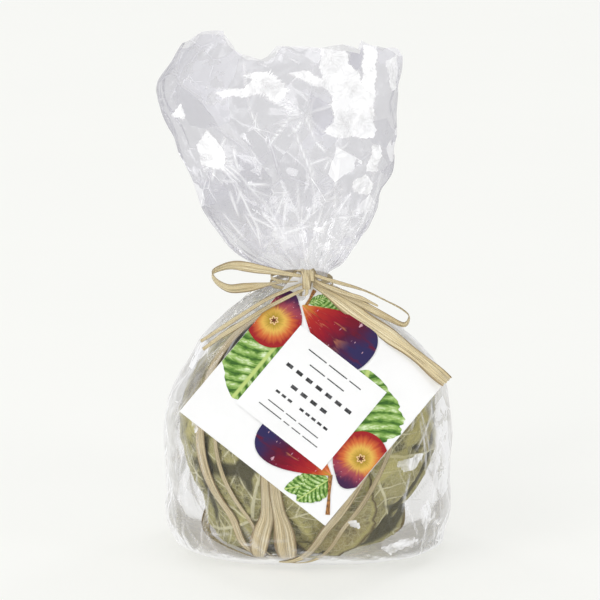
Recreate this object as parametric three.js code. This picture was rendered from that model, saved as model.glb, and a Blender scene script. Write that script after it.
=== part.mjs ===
// A ball of baked figs wrapped in dried fig leaves, bound with raffia, in a clear film bag
// that a raffia bow ties at the neck, with a square card tag hung from the bow.
//
// Millimetres, +Z up, front towards -Y. The origin is the centre of the bag's flat base.
import * as THREE from "three";

// ---------------------------------------------------------------- driving dimensions
const BALL_CENTRE = new THREE.Vector3(0, 0, 43.5); // centre of the wrapped ball
const CORE_RADIUS = 37.2; // the pressed figs, without their leaves
const CORE_HIGH = 32; // from the centre up to the top, which is flatter than a sphere's
const CORE_FLAT = 36; // from the centre down to the flat that the ball stands on
const FLAT_SHARPNESS = 14; // how crisply the round side turns into the flat
const LUMP = 0.009; // the ball's unevenness, as a share of its radius
const SIDE_BULGE = 1.03; // how much wider the ball is from side to side
const BASE_SPREAD = 0.8; // how far it spreads where it stands, as a share of its width
const BASE_HEIGHT = 20; // height up to which it spreads

const LEAF_THICKNESS = 0.6;
const LAYER_PITCH = 1.15; // from one leaf layer to the next
const FIRST_LEAF = 0.3; // the innermost leaf's clearance over the figs
const BINDING_START = 6; // the innermost binding strand over the figs
const BINDING_PITCH = 0.8;
const BINDING_THICKNESS = 0.4;

const FIG_COUNT_ROUND = 12; // figs round the middle one
const FIG_RING_RADIUS = 24.5;
const FIG_GAP = 0.3;
const FIG_SKIN = 35.9; // no fig reaches further than this from the ball's centre
const FIG_FOOT = 33.3; // or lower than this under it

const FILM = 0.4; // wall of the bag
const BAG_SIDES = 36; // facets round the bag
const NECK_MIDDLE = new THREE.Vector3(-2.5, -8, 95.5);
const NECK_HALF_WIDTH = 9.5;
const NECK_HALF_DEPTH = 7;
const NECK_WALL = 3.6; // the gathered folds are this deep under the tie

const TAG_SIDE = 61.6;
const TAG_THICKNESS = 0.6;
const TAG_LEAN = THREE.MathUtils.degToRad(30.6); // the tag's face looks up this far
const TAG_TURN = THREE.MathUtils.degToRad(6); // its diagonal leans this far to the left
const TAG_STANDOFF = 47.3; // from the ball's centre to the tag's back
const TAG_MIDDLE = [0.7, -5]; // the tag's centre: right of, and up the lean from, the point nearest the ball
const TAG_HOLE_RADIUS = 2;
const TAG_HOLE_INSET = 8.3; // from the corner to the hole's centre

const RAFFIA = 0.4; // thickness of a raffia ribbon

// ---------------------------------------------------------------- colours
const FINISHES = {
  film: { color: "#e6e7ea", roughness: 0.08, metalness: 0, transparent: true, opacity: 0.3 },
  leaf: { color: "#8d8550", roughness: 0.75, metalness: 0 },
  raffia: { color: "#dcc892", roughness: 0.65, metalness: 0 },
  fig: { color: "#6a3f26", roughness: 0.55, metalness: 0 },
  card: { color: "#fbfbf8", roughness: 0.6, metalness: 0 },
};

const part = new THREE.Group();

function addPiece(name, geometry, finish) {
  const mesh = new THREE.Mesh(geometry, new THREE.MeshStandardMaterial(FINISHES[finish]));
  mesh.name = name;
  part.add(mesh);
  return mesh;
}

// ---------------------------------------------------------------- geometry helpers
// A closed solid from rings of equal length. The rings join in order. The ends close with
// a fan to each end ring's middle, or on each other when joined is true.
function loft(rings, joined = false) {
  const sides = rings[0].length;
  const points = rings.flat();
  const faces = [];
  const spans = joined ? rings.length : rings.length - 1;
  for (let r = 0; r < spans; r++) {
    const here = r * sides;
    const next = ((r + 1) % rings.length) * sides;
    for (let i = 0; i < sides; i++) {
      const j = (i + 1) % sides;
      faces.push(here + i, here + j, next + j, here + i, next + j, next + i);
    }
  }
  if (!joined) {
    for (const end of [0, rings.length - 1]) {
      const middle = new THREE.Vector3();
      rings[end].forEach((p) => middle.addScaledVector(p, 1 / sides));
      const hub = points.push(middle) - 1;
      for (let i = 0; i < sides; i++) {
        const a = end * sides + i;
        const b = end * sides + ((i + 1) % sides);
        faces.push(...(end === 0 ? [hub, b, a] : [hub, a, b]));
      }
    }
  }
  return facingOut(new THREE.BufferGeometry().setFromPoints(points).setIndex(faces));
}

// The geometry with its faces turned to point out, found from its signed volume.
function facingOut(geometry) {
  const at = geometry.getAttribute("position");
  const index = geometry.index.array;
  const [a, b, c] = [new THREE.Vector3(), new THREE.Vector3(), new THREE.Vector3()];
  let volume = 0;
  for (let i = 0; i < index.length; i += 3) {
    a.fromBufferAttribute(at, index[i]);
    b.fromBufferAttribute(at, index[i + 1]);
    c.fromBufferAttribute(at, index[i + 2]);
    volume += a.dot(b.cross(c)) / 6;
  }
  if (volume < 0)
    for (let i = 0; i < index.length; i += 3)
      [index[i + 1], index[i + 2]] = [index[i + 2], index[i + 1]];
  return geometry;
}

// A smooth value between stations, each [place, value].
function along(stations, place) {
  const last = stations.length - 1;
  if (place <= stations[0][0]) return stations[0][1];
  if (place >= stations[last][0]) return stations[last][1];
  const k = stations.findIndex(([at]) => at > place) - 1;
  const [x0, y0] = stations[k];
  const [x1, y1] = stations[k + 1];
  const slope = (n) => {
    const [low, high] = [stations[Math.max(n - 1, 0)], stations[Math.min(n + 1, last)]];
    return (high[1] - low[1]) / (high[0] - low[0]);
  };
  const [span, t] = [x1 - x0, (place - x0) / (x1 - x0)];
  const [t2, t3] = [t * t, t * t * t];
  return (
    (2 * t3 - 3 * t2 + 1) * y0 +
    (t3 - 2 * t2 + t) * span * slope(k) +
    (3 * t2 - 2 * t3) * y1 +
    (t3 - t2) * span * slope(k + 1)
  );
}

// ---------------------------------------------------------------- the ball's layers
// The point that lies lift outside the pressed figs in a direction: a round, slightly lumpy
// ball with a flat under it. Layers with different lifts never cross.
function ballPoint(direction, lift) {
  const lumps =
    Math.sin(3.1 * direction.x + 1.3) * Math.cos(2.7 * direction.z - 0.4) +
    Math.sin(3.7 * direction.y + 2.1 * direction.x + 0.6);
  const high = direction.z > 0 ? (CORE_RADIUS + lift) / (CORE_HIGH + lift) : 1;
  const stretched = Math.hypot(direction.x, direction.y, direction.z * high);
  const round = ((CORE_RADIUS + lift) / stretched) * (1 + LUMP * lumps);
  const flat = direction.z < -0.05 ? (CORE_FLAT + lift) / -direction.z : Infinity;
  const reach = (round ** -FLAT_SHARPNESS + flat ** -FLAT_SHARPNESS) ** (-1 / FLAT_SHARPNESS);
  const point = direction.clone().multiplyScalar(reach).add(BALL_CENTRE);
  const spread = 1 + BASE_SPREAD * Math.max(0, 1 - point.z / BASE_HEIGHT) ** 2;
  return new THREE.Vector3(point.x * spread * SIDE_BULGE, point.y * spread, point.z);
}

// Two directions square to a direction and to each other.
function squareTo(direction, hint = new THREE.Vector3(0, 0, 1)) {
  const across = new THREE.Vector3().crossVectors(hint, direction).normalize();
  return [across, new THREE.Vector3().crossVectors(direction, across)];
}

// ---------------------------------------------------------------- baked figs
// Figs pressed into a ball fill the space between flat cuts halfway to each neighbour, with
// rounded edges. Each stays inside its own cut planes, so no two meet.
function figSeeds() {
  const seeds = [new THREE.Vector3(1.2, -0.8, 0.6)];
  const corners = new THREE.IcosahedronGeometry(FIG_RING_RADIUS, 0).getAttribute("position");
  for (let i = 0; i < corners.count && seeds.length <= FIG_COUNT_ROUND; i++) {
    const corner = new THREE.Vector3().fromBufferAttribute(corners, i);
    if (seeds.every((s) => s.distanceTo(corner) > 1)) seeds.push(corner);
  }
  return seeds.map((s, i) => {
    const sway = new THREE.Vector3(Math.sin(5 * i), Math.cos(3 * i), Math.sin(2 * i + 1));
    return s.addScaledVector(sway, 1.6);
  });
}

function addFigs() {
  const ROUNDING = 9; // how crisply the cut planes meet
  const BIGGEST = 21; // a fig never reaches further than this from its middle
  const seeds = figSeeds();
  seeds.forEach((seed, number) => {
    const fig = new THREE.IcosahedronGeometry(1, 2);
    const at = fig.getAttribute("position");
    for (let i = 0; i < at.count; i++) {
      const way = new THREE.Vector3().fromBufferAttribute(at, i).normalize();
      const walls = [BIGGEST];
      for (const other of seeds) {
        const away = other.clone().sub(seed);
        const half = away.length() / 2 - FIG_GAP;
        const facing = way.dot(away.normalize());
        if (other !== seed && facing > 0.05) walls.push(half / facing);
      }
      // How far this way the ball's own skin and its flat foot are.
      const ahead = seed.dot(way);
      const skin = FIG_SKIN ** 2 - seed.lengthSq();
      walls.push(-ahead + Math.sqrt(ahead * ahead + skin));
      if (way.z < -0.05) walls.push((FIG_FOOT + seed.z) / -way.z);
      const sum = walls.reduce((total, wall) => total + wall ** -ROUNDING, 0);
      way.multiplyScalar(sum ** (-1 / ROUNDING)).add(seed);
      if (way.z > 0) way.z *= CORE_HIGH / CORE_RADIUS;
      way.add(BALL_CENTRE);
      at.setXYZ(i, way.x, way.y, way.z);
    }
    addPiece(`fig_${String(number + 1).padStart(2, "0")}`, fig, "fig");
  });
}

// ---------------------------------------------------------------- fig leaves
// Each leaf is a lobed sheet laid on the ball: the way its middle faces, how it is turned,
// its reach as an angle, and its layer counted from the figs outwards.
const LEAVES = [
  { name: "leaf_base", faces: [0.1, 0.15, -1], turn: 0.4, reach: 68, layer: 0 },
  { name: "leaf_back", faces: [0.25, 1, 0.25], turn: 2.2, reach: 72, layer: 1 },
  { name: "leaf_crown", faces: [-0.1, 0.1, 1], turn: 1.1, reach: 66, layer: 2 },
  { name: "leaf_right", faces: [0.9, -0.55, -0.1], turn: 0.2, reach: 70, layer: 3 },
  { name: "leaf_left", faces: [-0.75, -0.8, -0.05], turn: 1.9, reach: 72, layer: 4 },
];

function addLeaves() {
  const ROUND = 30;
  const RINGS = 6;
  for (const { name, faces, turn, reach, layer } of LEAVES) {
    const middle = new THREE.Vector3(...faces).normalize();
    const [across, up] = squareTo(middle, new THREE.Vector3(0.3, 0.2, 1));
    const lowest = FIRST_LEAF + layer * LAYER_PITCH;
    const ring = (share, lift) =>
      Array.from({ length: ROUND }, (_, i) => {
        const round = (i / ROUND) * 2 * Math.PI;
        const lobes = 1 - 0.1 * Math.abs(Math.sin(2.5 * (round - turn)));
        const lean = THREE.MathUtils.degToRad(reach) * lobes * share;
        const way = middle
          .clone()
          .multiplyScalar(Math.cos(lean))
          .addScaledVector(across, Math.sin(lean) * Math.cos(round))
          .addScaledVector(up, Math.sin(lean) * Math.sin(round));
        return ballPoint(way, lift);
      });
    const shares = Array.from({ length: RINGS }, (_, i) => (i + 1) / RINGS);
    const outer = shares.map((share) => ring(share, lowest + LEAF_THICKNESS));
    const inner = shares.map((share) => ring(share, lowest)).reverse();
    addPiece(name, loft([...outer, ...inner]), "leaf");
  }
}

// ---------------------------------------------------------------- the ball's raffia
// The strands cross at a low point in front and at the point opposite. bearing is the angle
// round that axis, side and width are each [at the crossings, at the belly] in millimetres.
const CROSSING = new THREE.Vector3(-0.175, -0.42, -0.89).normalize();
const STRANDS = [
  { name: "binding_left_wide", bearing: 27, side: [1.5, 4.6], width: [2.2, 4.2], layer: 0 },
  { name: "binding_left_narrow", bearing: 27, side: [-1.2, -2.4], width: [1.6, 2], layer: 0 },
  { name: "binding_front_left", bearing: -8, side: [2, 3.8], width: [2.4, 5.8], layer: 1 },
  { name: "binding_front_right", bearing: -8, side: [-2, -3.6], width: [2.4, 6.6], layer: 1 },
  { name: "binding_right_wide", bearing: -57, side: [1, 1.8], width: [1.8, 3.4], layer: 2 },
  { name: "binding_right_narrow", bearing: -57, side: [-1.2, -2.2], width: [1.4, 1.8], layer: 2 },
];

function addBindings() {
  const STEPS = 44;
  const [right, high] = squareTo(CROSSING);
  for (const { name, bearing, side, width, layer } of STRANDS) {
    const turn = THREE.MathUtils.degToRad(bearing);
    const outwards = high
      .clone()
      .multiplyScalar(Math.cos(turn))
      .addScaledVector(right, -Math.sin(turn));
    const sideways = new THREE.Vector3().crossVectors(CROSSING, outwards);
    const lift = BINDING_START + layer * BINDING_PITCH;
    const sections = Array.from({ length: STEPS }, (_, i) => {
      const round = (i / STEPS) * 2 * Math.PI;
      const belly = Math.sqrt(Math.abs(Math.sin(round)));
      const middle = side[0] + (side[1] - side[0]) * belly;
      const half = (width[0] + (width[1] - width[0]) * belly) / 2;
      const corner = (offset, rise) => {
        const way = CROSSING.clone()
          .multiplyScalar(Math.cos(round))
          .addScaledVector(outwards, Math.sin(round))
          .addScaledVector(sideways, offset / CORE_RADIUS)
          .normalize();
        return ballPoint(way, lift + rise);
      };
      return [
        corner(middle - half, 0),
        corner(middle + half, 0),
        corner(middle + half, BINDING_THICKNESS),
        corner(middle - half, BINDING_THICKNESS),
      ];
    });
    addPiece(name, loft(sections, true), "raffia");
  }
  addBindingKnot();
}

// The knot that closes the binding, over the crossing at the back of the ball.
function addBindingKnot() {
  const way = CROSSING.clone().negate();
  const lift = BINDING_START + 2 * BINDING_PITCH + BINDING_THICKNESS;
  const THICK = 1.8;
  const knot = new THREE.SphereGeometry(1, 12, 8);
  knot.scale(3.6, 2.6, THICK / 2);
  const mesh = addPiece("binding_knot", knot, "raffia");
  mesh.quaternion.setFromUnitVectors(new THREE.Vector3(0, 0, 1), way);
  mesh.position.copy(ballPoint(way, lift + THICK / 2 + 0.4));
}

// ---------------------------------------------------------------- the film bag
// Each station is [height, value]: the half width, the half depth to the front and to the
// back, how square the section is, and where its middle lies.
const HALF_WIDTH = [
  [0, 36], [3, 42.5], [9, 45.4], [23, 46.5], [36, 47], [46, 46.5], [57, 44.2], [68, 38.6],
  [77, 29.2], [85, 18], [90, 12], [92.5, NECK_HALF_WIDTH], [98.5, NECK_HALF_WIDTH],
  [101, 15.4], [107, 20.6], [117, 27.4], [124, 30.8], [141, 35.8], [157, 39.8], [168, 38.4],
  [178, 35],
];
const HALF_FRONT = [
  [0, 23], [4, 31.4], [9, 36.8], [15, 40], [23, 43], [33, 45.9], [43.5, 46.9], [54, 45.6],
  [64, 41.4], [72, 35.4], [79, 27.4], [85, 19], [90, 11], [92.5, NECK_HALF_DEPTH],
  [98.5, NECK_HALF_DEPTH], [103, 8.4], [117, 9], [141, 10.4], [157, 11.4], [178, 12.4],
];
const HALF_BACK = [
  [0, 27], [4, 33], [9, 37], [15, 40.4], [23, 43.8], [33, 46], [43.5, 47], [54, 46], [64, 42.6],
  [72, 38], [79, 33], [85, 25.5], [90, 13], [92.5, NECK_HALF_DEPTH],
  [98.5, NECK_HALF_DEPTH], [103, 8.6], [117, 10], [141, 12], [157, 13], [178, 14],
];
const SQUARENESS = [
  [0, 3.2], [9, 2.7], [25, 2.2], [55, 2.05], [88, 2], [106, 2], [135, 2.5], [178, 2.8],
];
const MIDDLE_X = [
  [0, 0], [68, -1], [80, -2.5], [98.5, -2.5], [103, -4.4], [124, -5.5], [141, -8.1],
  [157, -10.4], [168, -8], [178, -6],
];
const MIDDLE_Y = [[0, 0], [60, 0], [92.5, -8], [98.5, -8], [125, -5], [178, -4]];
// The mouth's height round the bag, from the right side through the back, left and front.
const MOUTH = [
  [0, 169], [0.1, 170], [0.2, 173], [0.28, 167], [0.38, 176], [0.5, 176], [0.62, 177],
  [0.72, 165], [0.82, 172], [0.92, 168], [1, 169],
];
const FLARE_FOLDS = 5;

function bagPoint(share, height, inset) {
  const round = share * 2 * Math.PI;
  const [c, s] = [Math.cos(round), Math.sin(round)];
  const bend = 2 / along(SQUARENESS, height);
  const width = along(HALF_WIDTH, height) - inset;
  const depth = along(s < 0 ? HALF_FRONT : HALF_BACK, height) - inset;
  const fold = 2.2 * THREE.MathUtils.smoothstep(height, 104, 150);
  return new THREE.Vector3(
    along(MIDDLE_X, height) + Math.sign(c) * Math.abs(c) ** bend * width,
    along(MIDDLE_Y, height) + Math.sign(s) * Math.abs(s) ** bend * depth + fold * Math.sin(FLARE_FOLDS * round + 0.7),
    height,
  );
}

// How far the inside lies in from the outside: the film's wall, and the folds at the neck.
function wallAt(height) {
  const gathered =
    THREE.MathUtils.smoothstep(height, 86, 92.5) - THREE.MathUtils.smoothstep(height, 98.5, 104);
  return FILM + (NECK_WALL - FILM) * gathered;
}

function addBag() {
  const HEIGHTS = [
    0, 3, 8, 15, 23, 32, 41, 50, 58, 65, 72, 79, 85, 90, 92.5, 98.5, 101, 107, 117, 129, 143,
  ];
  const TOP = HEIGHTS.at(-1);
  const ring = (heightAt, inset, rise = 0) =>
    Array.from({ length: BAG_SIDES }, (_, i) => {
      const point = bagPoint(i / BAG_SIDES, heightAt(i / BAG_SIDES), inset);
      point.z += rise;
      return point;
    });
  // Above TOP the rings rise by shares to the mouth's uneven edge.
  const towardsMouth = (share) => (round) => TOP + (along(MOUTH, round) - TOP) * share;
  const upper = [0.5, 1];
  const outer = [
    ...HEIGHTS.map((height) => ring(() => height, 0)),
    ...upper.map((share) => ring(towardsMouth(share), 0)),
  ];
  const inner = [
    ...HEIGHTS.map((height) => ring(() => height, wallAt(height), height === 0 ? FILM : 0)),
    ...upper.map((share) => ring(towardsMouth(share), FILM)),
  ].reverse();
  const floorOf = (points) =>
    points.map((p) => new THREE.Vector3(p.x / 2, p.y / 2, p.z));
  addPiece("film_bag", loft([floorOf(outer[0]), ...outer, ...inner, floorOf(inner.at(-1))]), "film");
}

// ---------------------------------------------------------------- the tag
// The tag's own directions: to the right, up along its lean, and out from its face.
const TAG_AXES = [
  new THREE.Vector3(1, 0, 0),
  new THREE.Vector3(0, Math.sin(TAG_LEAN), Math.cos(TAG_LEAN)),
  new THREE.Vector3(0, -Math.cos(TAG_LEAN), Math.sin(TAG_LEAN)),
];

function tagWay([right, up, out]) {
  return TAG_AXES[0].clone().multiplyScalar(right)
    .addScaledVector(TAG_AXES[1], up)
    .addScaledVector(TAG_AXES[2], out);
}

// A point in front of the tag: right of the ball's middle, up the lean, out from the tag's back.
function onTag([right, up, out]) {
  return tagWay([right, up, out + TAG_STANDOFF]).add(BALL_CENTRE);
}

function addTag() {
  const half = TAG_SIDE / 2;
  const corners = [[-half, -half], [half, -half], [half, half], [-half, half]];
  const card = new THREE.Shape(corners.map(([x, y]) => new THREE.Vector2(x, y)));
  const hole = half - TAG_HOLE_INSET / Math.SQRT2;
  card.holes.push(new THREE.Path().absarc(hole, hole, TAG_HOLE_RADIUS, 0, 2 * Math.PI, true));
  const sheet = new THREE.ExtrudeGeometry(card, {
    depth: TAG_THICKNESS,
    bevelEnabled: false,
    curveSegments: 12,
  });
  const mesh = addPiece("gift_tag", sheet, "card");
  // The corner with the hole points up the lean, then turns a little to the left.
  const spin = new THREE.Matrix4().makeRotationZ(Math.PI / 4 + TAG_TURN);
  const frame = new THREE.Matrix4().makeBasis(...TAG_AXES);
  mesh.quaternion.setFromRotationMatrix(frame.multiply(spin));
  mesh.position.copy(onTag([...TAG_MIDDLE, 0]));
}

// ---------------------------------------------------------------- raffia ribbons
// A flat ribbon through points on the tag. wide gives the way its width runs at its start,
// middle and end, and widths its width at those places.
function ribbon({ points, wide, widths, steps }) {
  const route = new THREE.CatmullRomCurve3(points.map(onTag), false, "centripetal");
  const ways = wide.map((way) => tagWay(way).normalize());
  const sizes = [[0, widths[0]], [0.2, widths[1]], [0.75, widths[1]], [1, widths[2]]];
  const sections = Array.from({ length: steps + 1 }, (_, i) => {
    const t = i / steps;
    const [from, share] = t < 0.5 ? [0, 2 * t] : [1, 2 * t - 1];
    const tangent = route.getTangentAt(t);
    const across = ways[from].clone().lerp(ways[from + 1], share);
    across.addScaledVector(tangent, -across.dot(tangent)).setLength(along(sizes, t) / 2);
    const through = new THREE.Vector3().crossVectors(tangent, across).setLength(RAFFIA / 2);
    return [[-1, -1], [1, -1], [1, 1], [-1, 1]].map(([a, b]) =>
      route.getPointAt(t).addScaledVector(across, a).addScaledVector(through, b),
    );
  });
  return loft(sections);
}

const KNOT_MIDDLE = [-0.7, 34.5, 3.6];
const KNOT_RADII = [2.2, 3.6, 2.3];

// The loops and tails of the bow, each from the knot outwards.
const BOW = [
  {
    name: "bow_loop_left",
    points: [
      [-3.3, 35.6, 4.8], [-8, 36.2, 5.6], [-15.7, 37.4, 6.2], [-24.3, 38.7, 6.2], [-29, 38, 5.6],
      [-31.7, 36.5, 4.8], [-30.5, 33.9, 3.8], [-26.4, 31.8, 3], [-21.3, 32.1, 2.8],
      [-17, 32.7, 2.8], [-11.3, 33.5, 3], [-3.7, 34.2, 3],
    ],
    wide: [[0, 0.8, 0.5], [0, 0.3, 1], [0, 0.8, -0.5]],
    widths: [1, 3.4, 1],
    steps: 34,
  },
  {
    name: "bow_loop_right_outer",
    points: [
      [1.9, 35.9, 5], [8.7, 33.2, 6], [18.3, 30, 6.6], [26.7, 25.9, 6.4], [31, 23.6, 5.8],
      [33, 21.4, 5.2], [31.3, 18.9, 4.6], [26.3, 21.3, 3.8], [18.3, 25.8, 3.2], [12.3, 28.9, 2.8],
      [7, 31.6, 2.8], [2.2, 33.5, 2.8],
    ],
    wide: [[0, 0.7, 0.7], [0, 0.2, 1], [0, 0.7, -0.7]],
    widths: [0.8, 2, 0.8],
    steps: 34,
  },
  {
    name: "bow_loop_right_inner",
    points: [[5, 32.5, 4.5], [12.3, 29.5, 4.7], [17.7, 27.6, 4.9], [22.7, 25.2, 4.9]],
    wide: [[0, 1, 0.2], [0, 1, 0.2], [0, 1, 0.2]],
    widths: [0.8, 1.3, 0.8],
    steps: 12,
  },
  {
    name: "bow_tail_right",
    points: [
      [2.2, 32.6, 1.6], [8.7, 29, 1.4], [17.3, 22.6, 1.4], [26.7, 15.8, 1.4], [37, 7.6, 1.8],
      [45.4, 0, 2.4],
    ],
    wide: [[0.5, 0.8, 0], [0.6, 0.8, 0], [0.6, 0.7, 0.1]],
    widths: [1, 4.4, 4.8],
    steps: 20,
  },
  {
    name: "bow_tail_left_upper",
    points: [
      [-3.2, 32.8, 1.8], [-6.3, 31.9, 1.8], [-13.7, 28.4, 2], [-21.3, 23.6, 2], [-29, 18.4, 2],
      [-35.7, 13.9, 2],
    ],
    wide: [[-0.5, 0.8, 0], [-0.5, 0.8, 0], [-0.5, 0.8, 0]],
    widths: [0.8, 1.3, 1.2],
    steps: 16,
  },
  {
    name: "bow_tail_left_lower",
    points: [
      [-2.6, 30.8, 1.4], [-6.3, 29.6, 1.4], [-13.7, 25.6, 1.4], [-21.3, 20.8, 1.4],
      [-29, 15.9, 1.4], [-35, 11.3, 1.4],
    ],
    wide: [[-0.5, 0.8, 0], [-0.5, 0.8, 0], [-0.5, 0.8, 0]],
    widths: [0.8, 1.5, 1.3],
    steps: 16,
  },
  {
    name: "tie_strand_left",
    points: [[-6.6, 35.6, -6], [-6.5, 38.6, -4], [-5, 40.6, -0.4], [-2.6, 39.4, 2.6]],
    wide: [[1, 0, 0], [1, 0, 0], [1, 0, 0]],
    widths: [1.8, 1.6, 1.2],
    steps: 10,
  },
  {
    name: "tie_strand_right",
    points: [[1.8, 35.6, -6], [1.6, 38.4, -4], [1, 40.2, -0.4], [0.3, 39.4, 2.6]],
    wide: [[1, 0, 0], [1, 0, 0], [1, 0, 0]],
    widths: [1.8, 1.6, 1.2],
    steps: 10,
  },
];

function addBow() {
  for (const strand of BOW) addPiece(strand.name, ribbon(strand), "raffia");
  const knot = addPiece("bow_knot", new THREE.SphereGeometry(1, 14, 10).scale(...KNOT_RADII), "raffia");
  knot.position.copy(onTag(KNOT_MIDDLE));
  knot.quaternion.setFromRotationMatrix(new THREE.Matrix4().makeBasis(...TAG_AXES));
}

// Raffia round the neck of the bag, a band with a bulging outside.
function addNeckTie() {
  const TURN_HEIGHT = 4.8;
  const THICKNESS = 1.3;
  const SIDES = 32;
  const profile = [[0, -0.5], [0.7, -0.5], [1, -0.25], [0.8, 0], [1, 0.25], [0.7, 0.5], [0, 0.5]];
  const sections = Array.from({ length: SIDES }, (_, i) => {
    const round = (i / SIDES) * 2 * Math.PI;
    return profile.map(([out, rise]) => {
      const lift = 0.4 + out * THICKNESS;
      return new THREE.Vector3(
        (NECK_HALF_WIDTH + lift) * Math.cos(round),
        (NECK_HALF_DEPTH + lift) * Math.sin(round),
        rise * TURN_HEIGHT,
      ).add(NECK_MIDDLE);
    });
  });
  addPiece("neck_tie", loft(sections, true), "raffia");
}

// The string that holds the tag: from under the knot, through the hole, up behind the card.
function addTagString() {
  const reach = TAG_SIDE * Math.SQRT1_2 - TAG_HOLE_INSET;
  const [right, up] = TAG_MIDDLE;
  const hole = [right - reach * Math.sin(TAG_TURN), up + reach * Math.cos(TAG_TURN)];
  const nearHole = (aside, above, out) => onTag([hole[0] + aside, hole[1] + above, out]);
  const route = new THREE.CatmullRomCurve3([
    nearHole(2.3, -0.5, 3.4),
    nearHole(1, -0.8, 2.6),
    nearHole(0, 0, 0.4),
    nearHole(0.2, 0.8, -1.6),
    nearHole(0.6, 4, -2.6),
    nearHole(1.2, 7, -4),
  ]);
  const string = new THREE.ExtrudeGeometry(new THREE.Shape().absarc(0, 0, 0.5, 0, 2 * Math.PI), {
    extrudePath: route,
    steps: 20,
    curveSegments: 4,
    bevelEnabled: false,
  });
  addPiece("tag_string", string, "raffia");
}

addFigs();
addLeaves();
addBindings();
addBag();
addTag();
addNeckTie();
addBow();
addTagString();

export default part;
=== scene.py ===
"""A ball of baked figs wrapped in dried fig leaves, bound with raffia and packed in a clear film
bag with a raffia bow and a square card tag: the looks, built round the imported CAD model."""

import math

import bmesh
import bpy
import numpy as np
from bpy.props import FloatProperty, FloatVectorProperty, IntProperty, PointerProperty
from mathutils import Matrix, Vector


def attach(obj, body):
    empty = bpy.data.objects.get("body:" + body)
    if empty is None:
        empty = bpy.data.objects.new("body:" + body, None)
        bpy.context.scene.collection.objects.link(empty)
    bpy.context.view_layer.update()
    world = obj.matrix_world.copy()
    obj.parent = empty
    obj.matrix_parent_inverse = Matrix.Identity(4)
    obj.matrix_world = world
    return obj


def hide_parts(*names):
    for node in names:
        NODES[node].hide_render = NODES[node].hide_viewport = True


bl_info = {
    "name": "Bagged fig ball",
    "version": (1, 0, 0),
    "blender": (4, 5, 0),
    "location": "View3D > Sidebar > Fig ball",
    "description": "Film bag, fig leaves, raffia and tag for a ball of baked figs",
    "category": "Object",
}

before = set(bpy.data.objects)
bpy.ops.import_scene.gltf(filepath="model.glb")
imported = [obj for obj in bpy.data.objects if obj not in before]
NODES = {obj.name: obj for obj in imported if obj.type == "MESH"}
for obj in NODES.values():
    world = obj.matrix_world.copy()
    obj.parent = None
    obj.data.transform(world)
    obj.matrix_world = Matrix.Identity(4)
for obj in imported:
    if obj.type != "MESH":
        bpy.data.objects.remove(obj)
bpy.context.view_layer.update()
MM = 0.001

# ------------------------------------------------------------------ driving sizes, millimetres
# These repeat the CAD part's own dimensions.
BALL_CENTRE = np.array([0.0, 0.0, 43.5])
CORE_RADIUS = 37.2
CORE_HIGH = 32.0
CORE_FLAT = 36.0
FLAT_SHARPNESS = 14
LUMP = 0.009
SIDE_BULGE = 1.03
BASE_SPREAD = 0.8
BASE_HEIGHT = 20.0
# The soft leaves settle to this share of their height where they rest on the bag's base.
SETTLE = 0.45
FLOOR_GAP = 1.0
FIRST_LEAF = 0.3
LAYER_PITCH = 1.15
BINDING_START = 6.0
BINDING_PITCH = 0.8

TAG_SIDE = 61.6
TAG_THICKNESS = 0.6
TAG_LEAN = math.radians(30.6)
TAG_TURN = math.radians(6)
TAG_STANDOFF = 47.3
TAG_MIDDLE = np.array([0.7, -5.0])
TAG_HOLE_INSET = 8.3

NECK_MIDDLE = np.array([-2.5, -8.0, 95.5])
NECK_HALF_WIDTH = 9.5
NECK_HALF_DEPTH = 7.0


# ------------------------------------------------------------------ shader expressions
class Wire:
    """A shader socket or a plain value that takes part in arithmetic."""

    def __init__(self, net, socket):
        self.net, self.socket = net, socket

    def _maths(self, operation, *values):
        return self.net.node("ShaderNodeMath", {"operation": operation}, dict(enumerate(values)))

    def __add__(self, other):
        return self._maths("ADD", self, other)

    def __sub__(self, other):
        return self._maths("SUBTRACT", self, other)

    def __rsub__(self, other):
        return self._maths("SUBTRACT", other, self)

    def __mul__(self, other):
        return self._maths("MULTIPLY", self, other)

    def __truediv__(self, other):
        return self._maths("DIVIDE", self, other)

    def __pow__(self, other):
        return self._maths("POWER", self, other)

    def __abs__(self):
        return self._maths("ABSOLUTE", self)

    __radd__ = __add__
    __rmul__ = __mul__

    def smooth(self, low, high):
        """0 below low, 1 above high, with a soft change between."""
        return self.net.node(
            "ShaderNodeMapRange",
            {"interpolation_type": "SMOOTHSTEP"},
            {"Value": self, "From Min": low, "From Max": high},
        )

    def sine(self):
        return self._maths("SINE", self)

    def least(self, other):
        return self._maths("MINIMUM", self, other)

    def most(self, other):
        return self._maths("MAXIMUM", self, other)


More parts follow.
